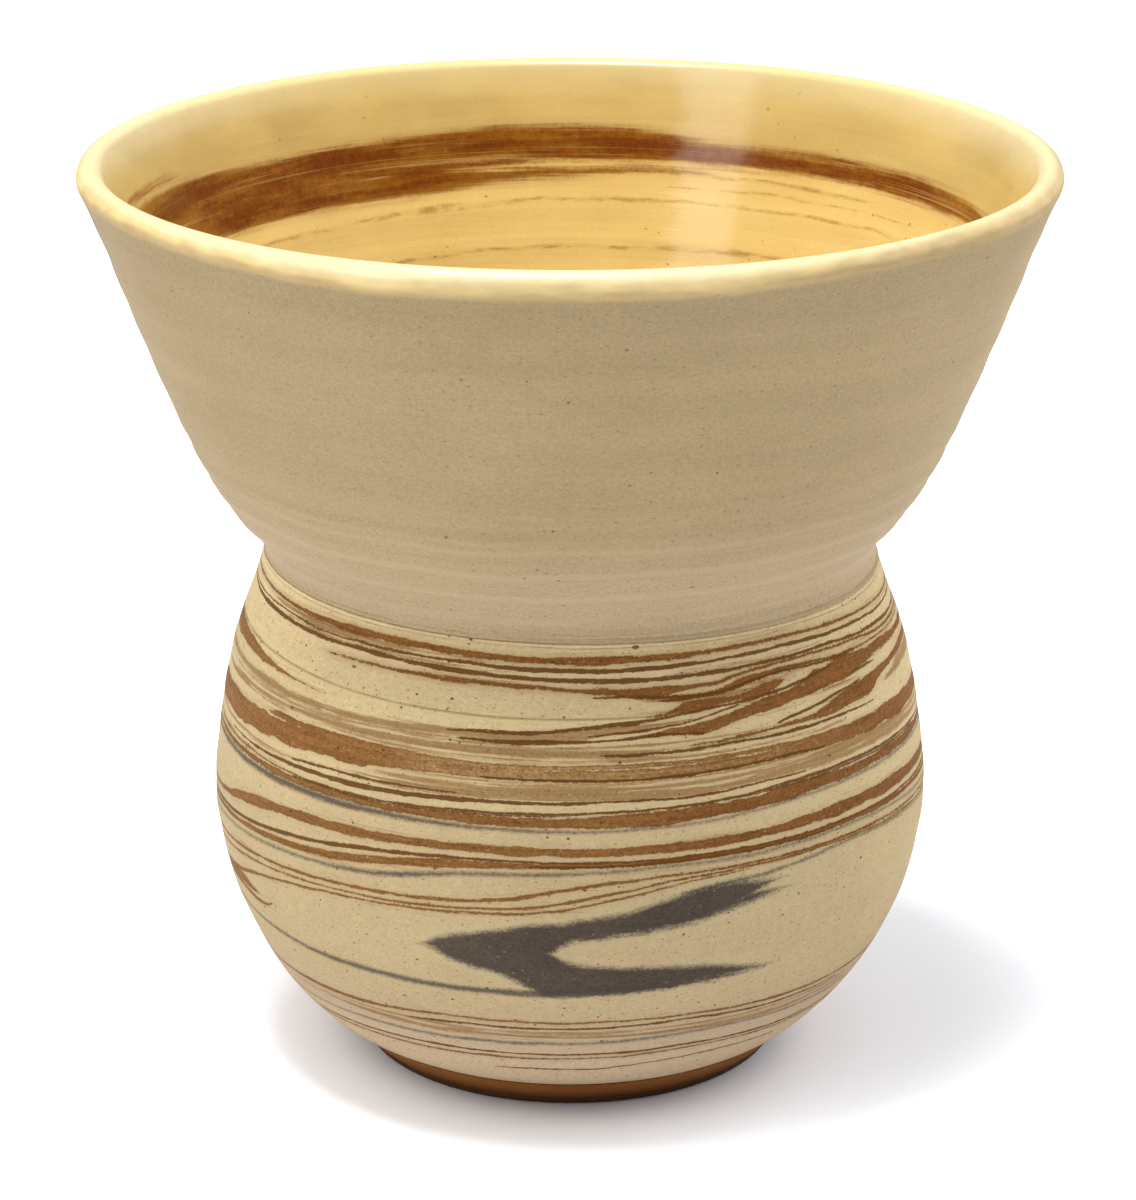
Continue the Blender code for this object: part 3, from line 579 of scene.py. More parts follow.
def marbled_clay():
    n = Nodes("marbled_clay")
    drift = n.noise((0.055, 0.055, 0.22), 2.0)
    ragged = n.noise((0.50, 0.50, 2.2), 3.0, 0.65, (7, 3, 1))
    grit = n.noise((1.5, 1.5, 2.1), 3.0, 0.7, (3, 6, 2))
    grain = n.noise((3.3, 3.3, 4.4), 2.0, 0.7)
    hair = n.noise((0.07, 0.07, 3.6), 3.0, 0.7, (8, 1, 3))
    streak = n.noise((0.16, 0.16, 2.8), 3.0, 0.65, (1, 9, 4))
    along = n.noise((0.22, 0.22, 0.6), 2.0, 0.6, (5, 5, 8))
    z = n.math("MULTIPLY_ADD", drift, 0.30, n.z)
    z = n.math("MULTIPLY_ADD", ragged, 0.34, z)
    z = n.math("MULTIPLY_ADD", grit, 0.10, z)
    widen = n.math("MULTIPLY_ADD", along, 1.3, 1.06)
    depth_b = n.veins(pair_names("brown", BROWN), z, widen)
    depth_d = n.veins(pair_names("dark", DARK), z, n.math("MULTIPLY", widen, 1.65))
    depth_p = n.veins(pair_names("pale", PALE), z, n.math("MULTIPLY", widen, 1.25))
    depth_g = n.veins(pair_names("grey", GREY), z, None)
    depth_f = n.veins(pair_names("fold", FOLD), z, None)
    ledge = parts_of(n, "ledge")
    painted_light_and_tone = parts_of(n, "painted_light_and_tone")

    # cream body: warm drifts, faint upright smears from the sponge, fine grog
    cloud = n.noise((0.10, 0.10, 0.16), 3.0, 0.55, (2, 8, 5))
    smear = n.noise((1.1, 1.1, 0.12), 2.0, 0.5, (3, 1, 7))
    tone = n.math("ADD", n.math("MULTIPLY", cloud, 1.6), n.math("MULTIPLY", smear, 0.7))
    low = n.smooth(n.z, 30.0, 6.0)
    body = n.mix(n.math("ADD", n.math("ADD", tone, 0.25), n.math("MULTIPLY", low, 0.40), clamp=True), CREAM, CREAM_WARM)
    body = n.mix(n.smooth(n.z, 17.0, 9.5, 0.0, 0.8), body, (0.362, 0.270, 0.176))
    # painted light: a lighter band on the front-left shoulder, just under the turning line
    painted_light_band = n.math("MULTIPLY", painted_light_and_tone[0], n.math("MULTIPLY", n.smooth(n.z, 42.6, 43.6), n.smooth(n.math("SUBTRACT", n.z, ledge[0]), 0.9, 0.0)))
    body = n.mix(n.math("MULTIPLY", painted_light_band, 0.22), body, CREAM_PAINTED_LIGHT)
    # painted light: darker low on the belly, lighter up the shoulder where it faces the lamps overhead, and much
    # lighter near the foot for light bounced up from the floor
    body = n.scale_colour(body, n.math("MULTIPLY", n.smooth(n.z, 27.0, 41.0, 0.90, 1.09), n.smooth(n.z, 4.2, 13.0, 1.42, 1.0)))
    # painted light: the left shoulder is lightened where the lamps on the left fall on it
    body = n.scale_colour(body, n.math("MULTIPLY_ADD", n.math("MULTIPLY", painted_light_and_tone[2], n.smooth(n.z, 42.0, 46.0)), 0.17, 1.0))
    body = n.scale_colour(body, n.math("MULTIPLY_ADD", grit, 0.30, n.math("MULTIPLY_ADD", grain, 0.55, 1.0)))

    rough_edge = n.math("ADD", n.math("MULTIPLY", grit, 0.18), n.math("MULTIPLY", grain, 0.42))
    mask_p = n.smooth(n.math("ADD", n.math("MULTIPLY_ADD", hair, 0.9, depth_p), n.math("ADD", n.math("MULTIPLY", streak, 0.75), n.math("MULTIPLY", rough_edge, 1.2))), -0.13, 0.19)
    mask_b = n.smooth(n.math("ADD", depth_b, rough_edge), -0.10, 0.08)
    mask_d = n.smooth(n.math("ADD", depth_d, n.math("MULTIPLY", rough_edge, 0.55)), -0.075, 0.03)
    mask_g = n.smooth(n.math("ADD", depth_g, n.math("MULTIPLY", rough_edge, 1.6)), -0.28, 0.24)
    mask_f = n.smooth(n.math("ADD", depth_f, n.math("ADD", n.math("MULTIPLY", rough_edge, 2.6), n.math("MULTIPLY", ragged, 0.8))), -0.55, 0.38)
    fringe = n.math("MULTIPLY", n.smooth(depth_f, -1.5, -0.1), 0.5)
    haze = n.smooth(depth_b, -0.70, 0.15)

    # the brown is washed out where the streaks run close together at the front
    worn = n.math("MULTIPLY", ledge[2], n.math("MULTIPLY", n.smooth(n.z, 37.0, 38.6), n.smooth(n.z, 42.4, 40.9)))
    worn = n.math("MULTIPLY", worn, n.smooth(n.math("ADD", n.math("ADD", streak, hair), n.math("MULTIPLY", grit, 0.5)), -0.22, 0.18, 0.15, 0.95))
    brown = n.mix(n.math("MULTIPLY_ADD", hair, 1.6, n.math("MULTIPLY_ADD", streak, 2.2, 0.40), clamp=True), BROWN_A, BROWN_B)
    brown = n.mix(worn, brown, WORN)
    brown = n.scale_colour(brown, n.math("MULTIPLY_ADD", grit, 0.95, n.math("MULTIPLY_ADD", grain, 1.55, 1.0)))
    brown = n.scale_colour(brown, n.smooth(n.z, 33.5, 38.0, 0.88, 1.0))
    strong = n.math("MAXIMUM", painted_light_and_tone[1], n.smooth(n.z, 44.0, 46.5))        # redder near the neck and on the right
    brown = n.mix(strong, brown, n.vec("MULTIPLY", brown, (0.81, 0.70, 0.56)))
    grey = n.mix(n.math("MULTIPLY_ADD", cloud, 3.0, 0.5, clamp=True), GREY_A, GREY_B)
    grey = n.scale_colour(grey, n.math("MULTIPLY_ADD", grit, 0.8, n.math("MULTIPLY_ADD", grain, 1.4, 1.0)))
    thread = n.math("MULTIPLY", n.smooth(hair, 0.055, 0.15), n.smooth(depth_b, -0.9, -0.05))

    colour = n.mix(n.math("MULTIPLY", haze, n.smooth(n.z, 44.0, 46.5, 0.15, 0.36)), body, PALE_A)
    colour = n.mix(n.math("MULTIPLY", fringe, 0.40), colour, FRINGE)
    colour = n.mix(n.math("MULTIPLY", thread, 0.42), colour, PALE_B)
    faded = n.mix(n.math("MULTIPLY_ADD", hair, 2.6, n.math("MULTIPLY_ADD", grit, 1.4, 0.45), clamp=True), PALE_A, PALE_B)
    colour = n.mix(n.math("MULTIPLY", mask_p, 0.77), colour, n.scale_colour(faded, n.math("MULTIPLY_ADD", grain, 1.3, 1.0)))
    colour = n.mix(n.math("MULTIPLY", mask_b, 0.97), colour, brown)
    rim_b = n.smooth(n.math("ABSOLUTE", n.math("SUBTRACT", n.math("ADD", depth_b, rough_edge), 0.05)), 0.10, 0.0)
    colour = n.mix(n.math("MULTIPLY", rim_b, 0.52), colour, DARK_A)
    colour = n.mix(n.math("MULTIPLY", mask_g, 0.86), colour, n.mix(n.smooth(depth_g, 0.0, 0.24, 0.42, 0.05), grey, GREY_LINE))
    colour = n.mix(n.math("MULTIPLY", mask_f, 0.97), colour, grey)
    colour = n.mix(n.math("MULTIPLY", mask_d, 0.95), colour, DARK_A)
    # the turning line: a dark cut over a painted highlight along its lower edge
    above = n.math("SUBTRACT", n.z, ledge[0])
    cut = n.math("MULTIPLY", ledge[1], n.smooth(n.math("ABSOLUTE", n.math("SUBTRACT", above, 0.10)), 0.10, 0.02))
    painted_edge_highlight = n.math("MULTIPLY", ledge[1], n.smooth(n.math("ABSOLUTE", n.math("ADD", above, 0.06)), 0.11, 0.02))
    broken = n.smooth(along, -0.16, 0.04, 0.35, 1.0)
    colour = n.mix(n.math("MULTIPLY", n.math("MULTIPLY", cut, broken), 0.50), colour, (0.22, 0.13, 0.06))
    colour = n.mix(n.math("MULTIPLY", painted_edge_highlight, 0.55), colour, (0.58, 0.48, 0.25))
    # the incised lines beside the groove at the neck
    seam = n.math("SUBTRACT", parts_of(n, "seam")[0], n.z)
    groove = n.smooth(n.math("ABSOLUTE", n.math("SUBTRACT", seam, n.math("MULTIPLY", ragged, 0.25))), 0.10, 0.02)
    second = n.smooth(n.math("ABSOLUTE", n.math("SUBTRACT", seam, n.math("MULTIPLY_ADD", drift, 0.6, 0.36))), 0.08, 0.02)
    colour = n.mix(n.math("MULTIPLY", groove, 0.40), colour, (0.12, 0.060, 0.024))
    colour = n.mix(n.math("MULTIPLY", n.math("MULTIPLY", second, broken), 0.40), colour, (0.13, 0.07, 0.03))
    # iron specks and open pits, pale grog
    pits = n.math("MAXIMUM", n.specks(0.80, 0.098, 0.95), n.marks(BOWL_MARKS, bowl_radius))
    dots = n.specks(2.0, 0.085, 0.75, (11, 4, 2))
    grog = n.specks(1.7, 0.080, 0.50, (4, 14, 9))
    colour = n.mix(n.math("MULTIPLY", dots, 0.48), colour, (0.10, 0.048, 0.018))
    colour = n.mix(n.math("MULTIPLY", pits, 0.84), colour, (0.056, 0.023, 0.007))
    colour = n.mix(n.math("MULTIPLY", grog, 0.26), colour, (0.46, 0.36, 0.21))

    rough = n.math("MULTIPLY_ADD", grain, 0.3, 0.76)
    relief = n.math("ADD", n.math("MULTIPLY", grain, 0.045), n.math("MULTIPLY", n.noise((0.25, 0.25, 1.6), 3.0, 0.6, (6, 2, 2)), 0.09))
    relief = n.math("MULTIPLY_ADD", grit, 0.06, relief)
    relief = n.math("SUBTRACT", relief, n.math("MULTIPLY", pits, 0.10))
    relief = n.math("SUBTRACT", relief, n.math("MULTIPLY", mask_b, 0.010))
    return n.finish(colour, rough, n.bump(relief, 0.9), 0.08)


SLIP_A = (0.269, 0.198, 0.1000)
SLIP_B = (0.225, 0.163, 0.0800)


def slip_colour(n):
    """Colour, roughness and relief of the pale speckled slip."""
    grain = n.noise((3.0, 3.0, 3.8), 2.0, 0.7)
    lines = n.noise((0.035, 0.035, 2.4), 3.0, 0.65, (3, 3, 3))
    broad = n.noise((0.03, 0.03, 0.35), 2.0, 0.5, (9, 1, 2))
    cloud = n.noise((0.09, 0.09, 0.09), 3.0, 0.55, (1, 4, 9))
    tone = n.math("ADD", n.math("MULTIPLY", lines, 0.55), n.math("MULTIPLY", broad, 0.9))
    tone = n.math("ADD", tone, n.math("MULTIPLY", cloud, 0.9))
    colour = n.mix(n.math("ADD", tone, 0.45, clamp=True), SLIP_A, SLIP_B)
    colour = n.mix(n.smooth(n.z, 66.0, 54.0, 0.0, 0.55), colour, (0.278, 0.206, 0.124))
    grit = n.noise((2.1, 2.1, 2.5), 3.0, 0.7, (6, 1, 3))
    colour = n.scale_colour(colour, n.math("MULTIPLY_ADD", grit, 0.26, n.math("MULTIPLY_ADD", grain, 0.58, 1.0)))
    fine = n.specks(2.4, 0.085, 0.95)
    some = n.specks(1.15, 0.105, 0.90, (5, 8, 3))
    dark = n.specks(0.46, 0.120, 0.60, (2, 13, 6))
    colour = n.mix(n.math("MULTIPLY", fine, 0.34), colour, (0.150, 0.100, 0.048))
    colour = n.mix(n.math("MULTIPLY", some, 0.45), colour, (0.120, 0.072, 0.034))
    colour = n.mix(n.math("MULTIPLY", dark, 0.72), colour, (0.055, 0.032, 0.016))
    # painted shade: the slip darkens under the overhang of the lip; it is also lighter just above the neck
    colour = n.scale_colour(colour, n.math("MULTIPLY", n.smooth(n.z, 79.0, 88.0, 1.0, 0.93), n.smooth(n.z, 53.0, 62.0, 1.10, 1.0)))
    # painted highlight: paler bands along the throwing ripples just above the neck
    turn = n.math("MULTIPLY_ADD", n.noise((0.05, 0.05, 0.05), 2.0, 0.5, (7, 3, 3)), 2.4, n.z)
    waves = n.math("ADD", n.math("SINE", n.math("MULTIPLY", turn, 2.03)), n.math("SINE", n.math("MULTIPLY", turn, 4.58)))
    painted_ripple_highlight = n.math("MULTIPLY", n.smooth(waves, -0.4, 1.5), n.math("MULTIPLY", n.smooth(n.z, 69.0, 57.0), n.smooth(n.z, 51.5, 53.5)))
    colour = n.mix(n.math("MULTIPLY", painted_ripple_highlight, 0.40), colour, (0.325, 0.243, 0.147))
    relief = n.math("ADD", n.math("MULTIPLY", grain, 0.035), n.math("MULTIPLY", lines, 0.075))
    relief = n.math("SUBTRACT", relief, n.math("MULTIPLY", some, 0.02))
    rough = n.math("MULTIPLY_ADD", grain, 0.16, 0.80)
    return colour, rough, relief


def pale_slip():
    n = Nodes("pale_slip")
    colour, rough, relief = slip_colour(n)
    # a thin dark line of turned clay along the groove
    edge = n.math("SUBTRACT", n.z, parts_of(n, "seam")[0])
    near = n.smooth(n.math("ABSOLUTE", n.math("ADD", n.math("SUBTRACT", edge, 0.45), n.math("MULTIPLY", n.noise((0.3, 0.3, 0.3), 2.0), 0.3))), 0.11, 0.02)
    colour = n.mix(n.math("MULTIPLY", n.math("MULTIPLY", near, n.smooth(n.noise((0.11, 0.11, 0.2), 2.0, 0.5, (4, 4, 2)), -0.10, 0.10, 0.25, 1.0)), 0.36), colour, (0.15, 0.088, 0.042))
    colour = n.mix(n.math("MULTIPLY", n.marks(SLIP_MARKS, collar_radius), 0.8), colour, (0.050, 0.027, 0.012))
    under = n.smooth(edge, 0.09, 0.01)
    colour = n.mix(n.math("MULTIPLY", under, 0.22), colour, (0.12, 0.070, 0.032))
    return n.finish(colour, rough, n.bump(relief, 0.9), 0.25)


def parts_of(n, name):
    parts = n.tree.nodes.new("ShaderNodeSeparateXYZ")
    n.link(n.attribute(name), parts.inputs[0])
    return parts.outputs


GLAZE_VEINS = [
    (ROUND, [(90, 82.0, .5), (100, 82.0, .6), (110, 82.1, .9), (130, 82.15, 1.0), (150, 82.1, 1.0), (160, 82.15, 1.05), (165, 82.4, 1.3), (175, 82.65, 1.6), (190, 82.7, 1.6),
             (200, 82.5, 1.5), (215, 82.2, 1.6), (230, 82.0, 1.55), (245, 82.2, 1.9), (260, 82.7, 1.7), (290, 83.0, 1.2), (330, 82.6, .7), (360, 82.2, 1.0), (400, 81.9, .7)]),
    (False, [(160, 80.4, .02), (170, 80.3, .12), (180, 79.9, .35), (190, 79.7, .6), (197, 79.6, .95), (205, 79.5, 1.2), (220, 79.4, 1.3), (235, 79.4, 1.3), (250, 79.5, 1.15), (270, 79.6, .6), (300, 80.0, .3), (330, 80.2, .02)]),
    (False, [(184, 81.0, .0), (195, 80.9, .35), (208, 80.8, .6), (222, 80.75, .72), (238, 80.75, .7), (254, 80.9, .5), (278, 81.2, .0)]),
    (False, [(250, 84.9, .0), (260, 85.2, .14), (272, 85.6, .2), (300, 86.0, .1), (320, 86.0, .0)]),
    (ROUND, [(0, 67.6, .25), (60, 67.0, .12), (120, 66.6, .3), (180, 66.9, .5), (240, 67.4, .2), (300, 67.9, .4)]),
    (ROUND, [(0, 63.4, .1), (70, 63.8, .3), (140, 63.2, .12), (200, 62.7, .25), (280, 63.0, .08)]),
    (ROUND, [(0, 59.0, .5), (60, 58.5, .8), (130, 58.2, .4), (190, 58.8, .7), (250, 59.4, .9), (310, 59.5, .4)]),
    (ROUND, [(0, 54.8, .15), (80, 54.5, .3), (160, 54.9, .1), (240, 55.4, .25)]),
    (ROUND, [(0, 50.0, .4), (90, 49.6, .2), (180, 50.4, .6), (270, 50.6, .3)]),
    (ROUND, [(0, 45.2, .2), (70, 44.8, .5), (150, 45.4, .2), (230, 46.0, .6), (300, 45.6, .3)]),
    (ROUND, [(0, 39.5, 1.0), (60, 39.0, .7), (140, 38.6, 1.2), (220, 39.4, .8), (300, 40.0, 1.1)]),
    (ROUND, [(0, 34.0, .2), (90, 33.6, .4), (180, 34.2, .2), (270, 34.6, .5)]),
    (ROUND, [(0, 28.6, .6), (90, 28.1, .3), (180, 28.8, .7), (270, 29.2, .4)]),
    (ROUND, [(0, 22.4, .3), (90, 22.0, .6), (180, 22.6, .3), (270, 23.0, .5)]),
    (ROUND, [(0, 17.0, .4), (90, 16.7, .25), (180, 17.2, .5), (270, 17.4, .3)]),
    (ROUND, [(0, 12.4, .25), (90, 12.1, .4), (180, 12.5, .25), (270, 12.7, .4)]),
]
GLAZE_LINES = [
    (False, [(115, 77.4, .0), (130, 77.4, .1), (150, 77.3, .1), (180, 77.2, .14), (190, 77.0, .2), (200, 76.8, .22), (210, 76.5, .2), (220, 76.3, .14), (235, 76.1, .1), (280, 75.6, .14), (340, 75.8, .02)]),
    (False, [(142, 73.0, .02), (150, 72.8, .17), (165, 72.6, .08), (180, 72.6, .12), (190, 72.5, .12), (205, 72.1, .09), (240, 71.5, .12), (300, 71.6, .02)]),
    (False, [(128, 80.0, .02), (140, 79.9, .1), (155, 79.95, .16), (168, 80.0, .2), (178, 79.9, .12), (186, 79.9, .02)]),
    (False, [(120, 78.9, .0), (135, 78.8, .02), (150, 78.75, .05), (165, 78.7, .0)]),
]
HONEY_A = (0.500, 0.346, 0.1160)
HONEY_B = (0.436, 0.282, 0.0810)
AMBER = (0.196, 0.072, 0.0045)
UMBER = (0.118, 0.027, 0.0003)


def glaze_colour(n, veined):
    """Colour and relief of the honey glaze over streaked clay."""
    flow = n.noise((1.7, 1.7, 0.30), 3.0, 0.65, (4, 2, 1))
    grain = n.noise((3.6, 3.6, 3.6), 3.0, 0.65)
    cloud = n.noise((0.11, 0.11, 0.14), 3.0, 0.55, (8, 3, 2))
    rings = n.noise((0.03, 0.03, 1.1), 3.0, 0.6, (2, 2, 5))
    tone = n.math("ADD", n.math("MULTIPLY", cloud, 1.5), n.math("MULTIPLY", rings, 0.9))
    colour = n.mix(n.math("ADD", tone, 0.40, clamp=True), HONEY_A, HONEY_B)
    # painted shade: the honey is lighter low in the bowl and darker towards the lip, with patches of painted reflection
    # near the top
    shade = n.smooth(n.z, 80.5, 85.0, 1.12, 0.82)
    painted_reflection = n.math("MULTIPLY", n.smooth(n.noise((0.055, 0.055, 0.15), 2.0, 0.5, (3, 9, 6)), -0.04, 0.08), n.smooth(n.z, 83.5, 86.5))
    shade = n.math("MULTIPLY", shade, n.math("MULTIPLY_ADD", painted_reflection, 0.10, 1.0))
    colour = n.scale_colour(colour, n.math("MULTIPLY", shade, n.math("MULTIPLY_ADD", grain, 0.22, 1.0)))
    if veined:
        streak = n.noise((0.055, 0.055, 2.3), 3.0, 0.7, (6, 6, 1))
        z = n.math("MULTIPLY_ADD", flow, 0.30, n.z)
        z = n.math("MULTIPLY_ADD", n.noise((0.16, 0.16, 1.2), 2.0, 0.6), 0.7, z)
        depth = n.veins(pair_names("glaze", GLAZE_VEINS), z, None)
        depth = n.math("MULTIPLY_ADD", streak, 1.5, depth)
        depth = n.math("MULTIPLY_ADD", grain, 0.5, depth)
        edge = n.smooth(depth, -0.46, 0.40)
        beads = n.smooth(n.noise((0.30, 0.30, 0.9), 3.0, 0.65, (7, 7, 3)), -0.09, 0.10, 0.15, 1.0)      # the thin lines break up
        fine = n.veins(pair_names("line", GLAZE_LINES), n.math("MULTIPLY_ADD", n.noise((0.22, 0.22, 0.6), 2.0, 0.6, (1, 2, 2)), 0.8, n.z), None)
        fine = n.math("MULTIPLY", n.smooth(n.math("MULTIPLY_ADD", grain, 0.5, fine), -0.22, 0.16), beads)
        halo = n.smooth(depth, -1.1, 0.2)
        mottle = n.noise((1.1, 1.1, 1.0), 3.0, 0.65, (9, 2, 6))
        blotch = n.noise((0.11, 0.11, 0.85), 3.0, 0.62, (2, 7, 7))
        heart = n.math("ADD", n.math("MULTIPLY_ADD", flow, 1.2, n.math("MULTIPLY", depth, 0.5)), n.math("ADD", n.math("MULTIPLY", mottle, 1.6), n.math("MULTIPLY", blotch, 4.0)))
        heart = n.smooth(heart, -0.40, 1.05)
        brown = n.mix(heart, AMBER, UMBER)
        brown = n.scale_colour(brown, n.math("MULTIPLY_ADD", flow, 0.9, n.math("MULTIPLY_ADD", grain, 1.0, 1.0)))
        scratch = n.smooth(n.noise((0.03, 0.03, 3.4), 2.0, 0.6, (1, 3, 8)), 0.09, 0.24)
        brown = n.mix(n.math("MULTIPLY", scratch, 0.40), brown, HONEY_B)
        colour = n.mix(n.math("MULTIPLY", halo, 0.26), colour, AMBER)
        colour = n.mix(n.math("MULTIPLY", fine, 0.68), colour, (0.215, 0.100, 0.012))
        colour = n.mix(edge, colour, brown)
    dots = n.specks(0.72, 0.12, 0.60, (3, 7, 1))
    colour = n.mix(n.math("MULTIPLY", dots, 0.60), colour, (0.16, 0.075, 0.018))
    relief = n.math("ADD", n.math("MULTIPLY", rings, 0.05), n.math("MULTIPLY", cloud, 0.10))
    return colour, relief


def honey_glaze():
    n = Nodes("honey_glaze")
    colour, relief = glaze_colour(n, True)
    rough = n.math("MULTIPLY_ADD", n.noise((0.3, 0.3, 0.3), 2.0, 0.5, (1, 1, 4)), 0.10, 0.13)
    return n.finish(colour, rough, n.bump(relief, 0.8), 0.33)


BUTTER_A = (0.560, 0.472, 0.2780)
BUTTER_B = (0.500, 0.400, 0.2050)


def rim_glaze():
    """Glaze over the lip: honey inside, butter on the crest, thinning to bare slip a little way down the outside."""
    n = Nodes("rim_glaze")
    inner, relief_g = glaze_colour(n, False)
    slip, rough_s, relief_s = slip_colour(n)
    where = parts_of(n, "rim")                    # x: distance from the crest along the skin, positive outside
    run = n.math("ADD", where[0], n.math("MULTIPLY", n.noise((0.12, 0.12, 0.12), 3.0, 0.6, (5, 2, 7)), 0.9))
    run = n.math("SUBTRACT", run, n.math("MAXIMUM", where[2], 0.0))
    crest = n.mix(n.math("MULTIPLY_ADD", n.noise((0.5, 0.5, 0.5), 2.0), 1.2, 0.4, clamp=True), BUTTER_A, BUTTER_B)
    crest = n.mix(n.math("MULTIPLY", n.math("MAXIMUM", n.math("MULTIPLY", where[2], -1.0), 0.0), 0.75), crest, (0.470, 0.360, 0.150))
    colour = n.mix(n.smooth(run, -5.0, -0.2), inner, crest)          # the honey pales by degrees towards the lip
    colour = n.mix(n.smooth(run, 0.5, 1.5, 0.0, 0.85), colour, (0.480, 0.350, 0.132))
    colour = n.mix(n.math("MULTIPLY", where[1], n.smooth(run, -0.2, 1.2, 0.0, 0.70)), colour, (0.335, 0.245, 0.120))
    patch = n.math("ADD", n.noise((0.35, 0.35, 0.9), 2.0, 0.5, (1, 5, 2)), n.noise((0.10, 0.10, 0.3), 2.0, 0.5, (6, 2, 9)))
    colour = n.scale_colour(colour, n.math("MULTIPLY_ADD", n.math("MULTIPLY", patch, n.smooth(run, 0.0, 1.2)), 0.50, 1.0))
    stain = n.math("MULTIPLY", n.smooth(n.math("ABSOLUTE", n.math("SUBTRACT", run, 1.9)), 0.55, 0.05),
                   n.smooth(n.math("ADD", n.noise((0.07, 0.07, 0.07), 2.0, 0.5, (2, 6, 3)), n.noise((0.30, 0.30, 1.2), 3.0, 0.6, (4, 1, 1))), -0.16, 0.24))
    bare = n.smooth(run, 1.5, 2.9)
    colour = n.mix(bare, colour, slip)
    colour = n.mix(n.smooth(n.math("ABSOLUTE", n.math("SUBTRACT", run, 2.1)), 0.8, 0.1, 0.0, 0.36), colour, (0.300, 0.205, 0.088))
    colour = n.mix(n.math("MULTIPLY", stain, 0.45), colour, (0.25, 0.145, 0.055))
    shiny = n.math("MULTIPLY_ADD", n.noise((0.3, 0.3, 0.3), 2.0, 0.5, (1, 1, 4)), 0.10, 0.13)
    rough = n.math("ADD", shiny, n.math("ADD", n.math("MULTIPLY", n.smooth(run, 0.7, 2.4), 0.60), n.math("MULTIPLY", n.smooth(run, -2.2, -0.8), 0.17)))
    relief = n.math("ADD", n.math("MULTIPLY", relief_s, bare), n.math("MULTIPLY", relief_g, n.math("MULTIPLY_ADD", bare, -0.25, 0.25)))
    return n.finish(colour, rough, n.bump(relief, 0.8), 0.34)


def brown_clay():
    n = Nodes("brown_clay")
    grain = n.noise((4.2, 4.2, 4.2), 2.0, 0.65)
    lines = n.noise((0.04, 0.04, 3.0), 3.0, 0.65)
    cloud = n.noise((0.14, 0.14, 0.2), 3.0, 0.55)
    tone = n.math("ADD", n.math("MULTIPLY", lines, 0.8), n.math("MULTIPLY", cloud, 1.4))
    colour = n.mix(n.math("ADD", tone, 0.45, clamp=True), (0.205, 0.076, 0.0160), (0.132, 0.044, 0.0085))
    # painted shade: the foot darkens towards its bottom edge, where it meets the floor, and is lighter at its top edge
    colour = n.scale_colour(colour, n.math("MULTIPLY_ADD", grain, 0.55, n.smooth(n.math("MULTIPLY_ADD", cloud, 0.8, n.z), 0.3, 2.4, 0.30, 1.15)))
    dots = n.specks(0.9, 0.10, 0.45)
    colour = n.mix(n.math("MULTIPLY", dots, 0.5), colour, (0.045, 0.022, 0.010))
    relief = n.math("ADD", n.math("MULTIPLY", grain, 0.04), n.math("MULTIPLY", lines, 0.08))
    return n.finish(colour, n.math("MULTIPLY_ADD", grain, 0.16, 0.76), n.bump(relief, 0.9), 0.12)


def collar_clay():
    n = Nodes("collar_clay")
    grain = n.noise((4.0, 4.0, 5.0), 2.0, 0.65)
    streak = n.noise((0.06, 0.06, 1.2), 3.0, 0.6)
    colour = n.mix(n.smooth(streak, -0.05, 0.2), CREAM, PALE_A)
    colour = n.scale_colour(colour, n.math("MULTIPLY_ADD", grain, 0.4, 1.0))
    return n.finish(colour, n.math("MULTIPLY_ADD", grain, 0.15, 0.78), n.bump(n.math("MULTIPLY", grain, 0.03), 0.9), 0.28)


# ---------------------------------------------------------------------------
# Pieces
# ---------------------------------------------------------------------------
def bowl_radius(z, phi):
    r = smoothed(BOWL_OUT, z, 1.1)
    r = r + 0.035 * np.sin(2 * phi + 0.5) * np.sin(z / 16.0)                      # hand-thrown, not quite round
    r = r + 0.028 * np.sin(z * 1.55 + 0.5 * np.sin(phi)) * smoothstep(14, 24, z)   # faint throwing waves
    r = r - 0.20 * np.sin(phi) * smoothstep(3.3, 5.2, z) * smoothstep(15, 7, z)     # a little fuller on the left above the foot
    ledge = ledge_height(phi) - z
    return r + ledge_weight(phi) * (0.17 * smoothstep(-0.09, 0.09, ledge) * smoothstep(2.2, 0.1, ledge) - 0.05 * np.exp(-((ledge + 0.13) / 0.09) ** 2))


def collar_radius(z, phi):
    r = smoothed(COLLAR_OUT, z, 0.55)
    r = r + 0.40 * np.clip((z - 83.0) / 6.2, 0, 1.2) ** 1.4                         # runs straight into the lip
    r = r + 0.06 * np.sin(2 * phi + 1.1) * smoothstep(56, 90, z)
    turn = z + 0.25 * np.sin(phi + 0.4)
    near = smoothstep(72, 58, z)
    r = r + 0.075 * np.sin(turn * 2 * math.pi / 3.1) * near + 0.03 * np.sin(turn * 2 * math.pi / 1.37 + 1.0) * near
    r = r + 0.035 * np.sin(turn * 2 * math.pi / 4.7 + 0.8) * (1 - near)
    return r


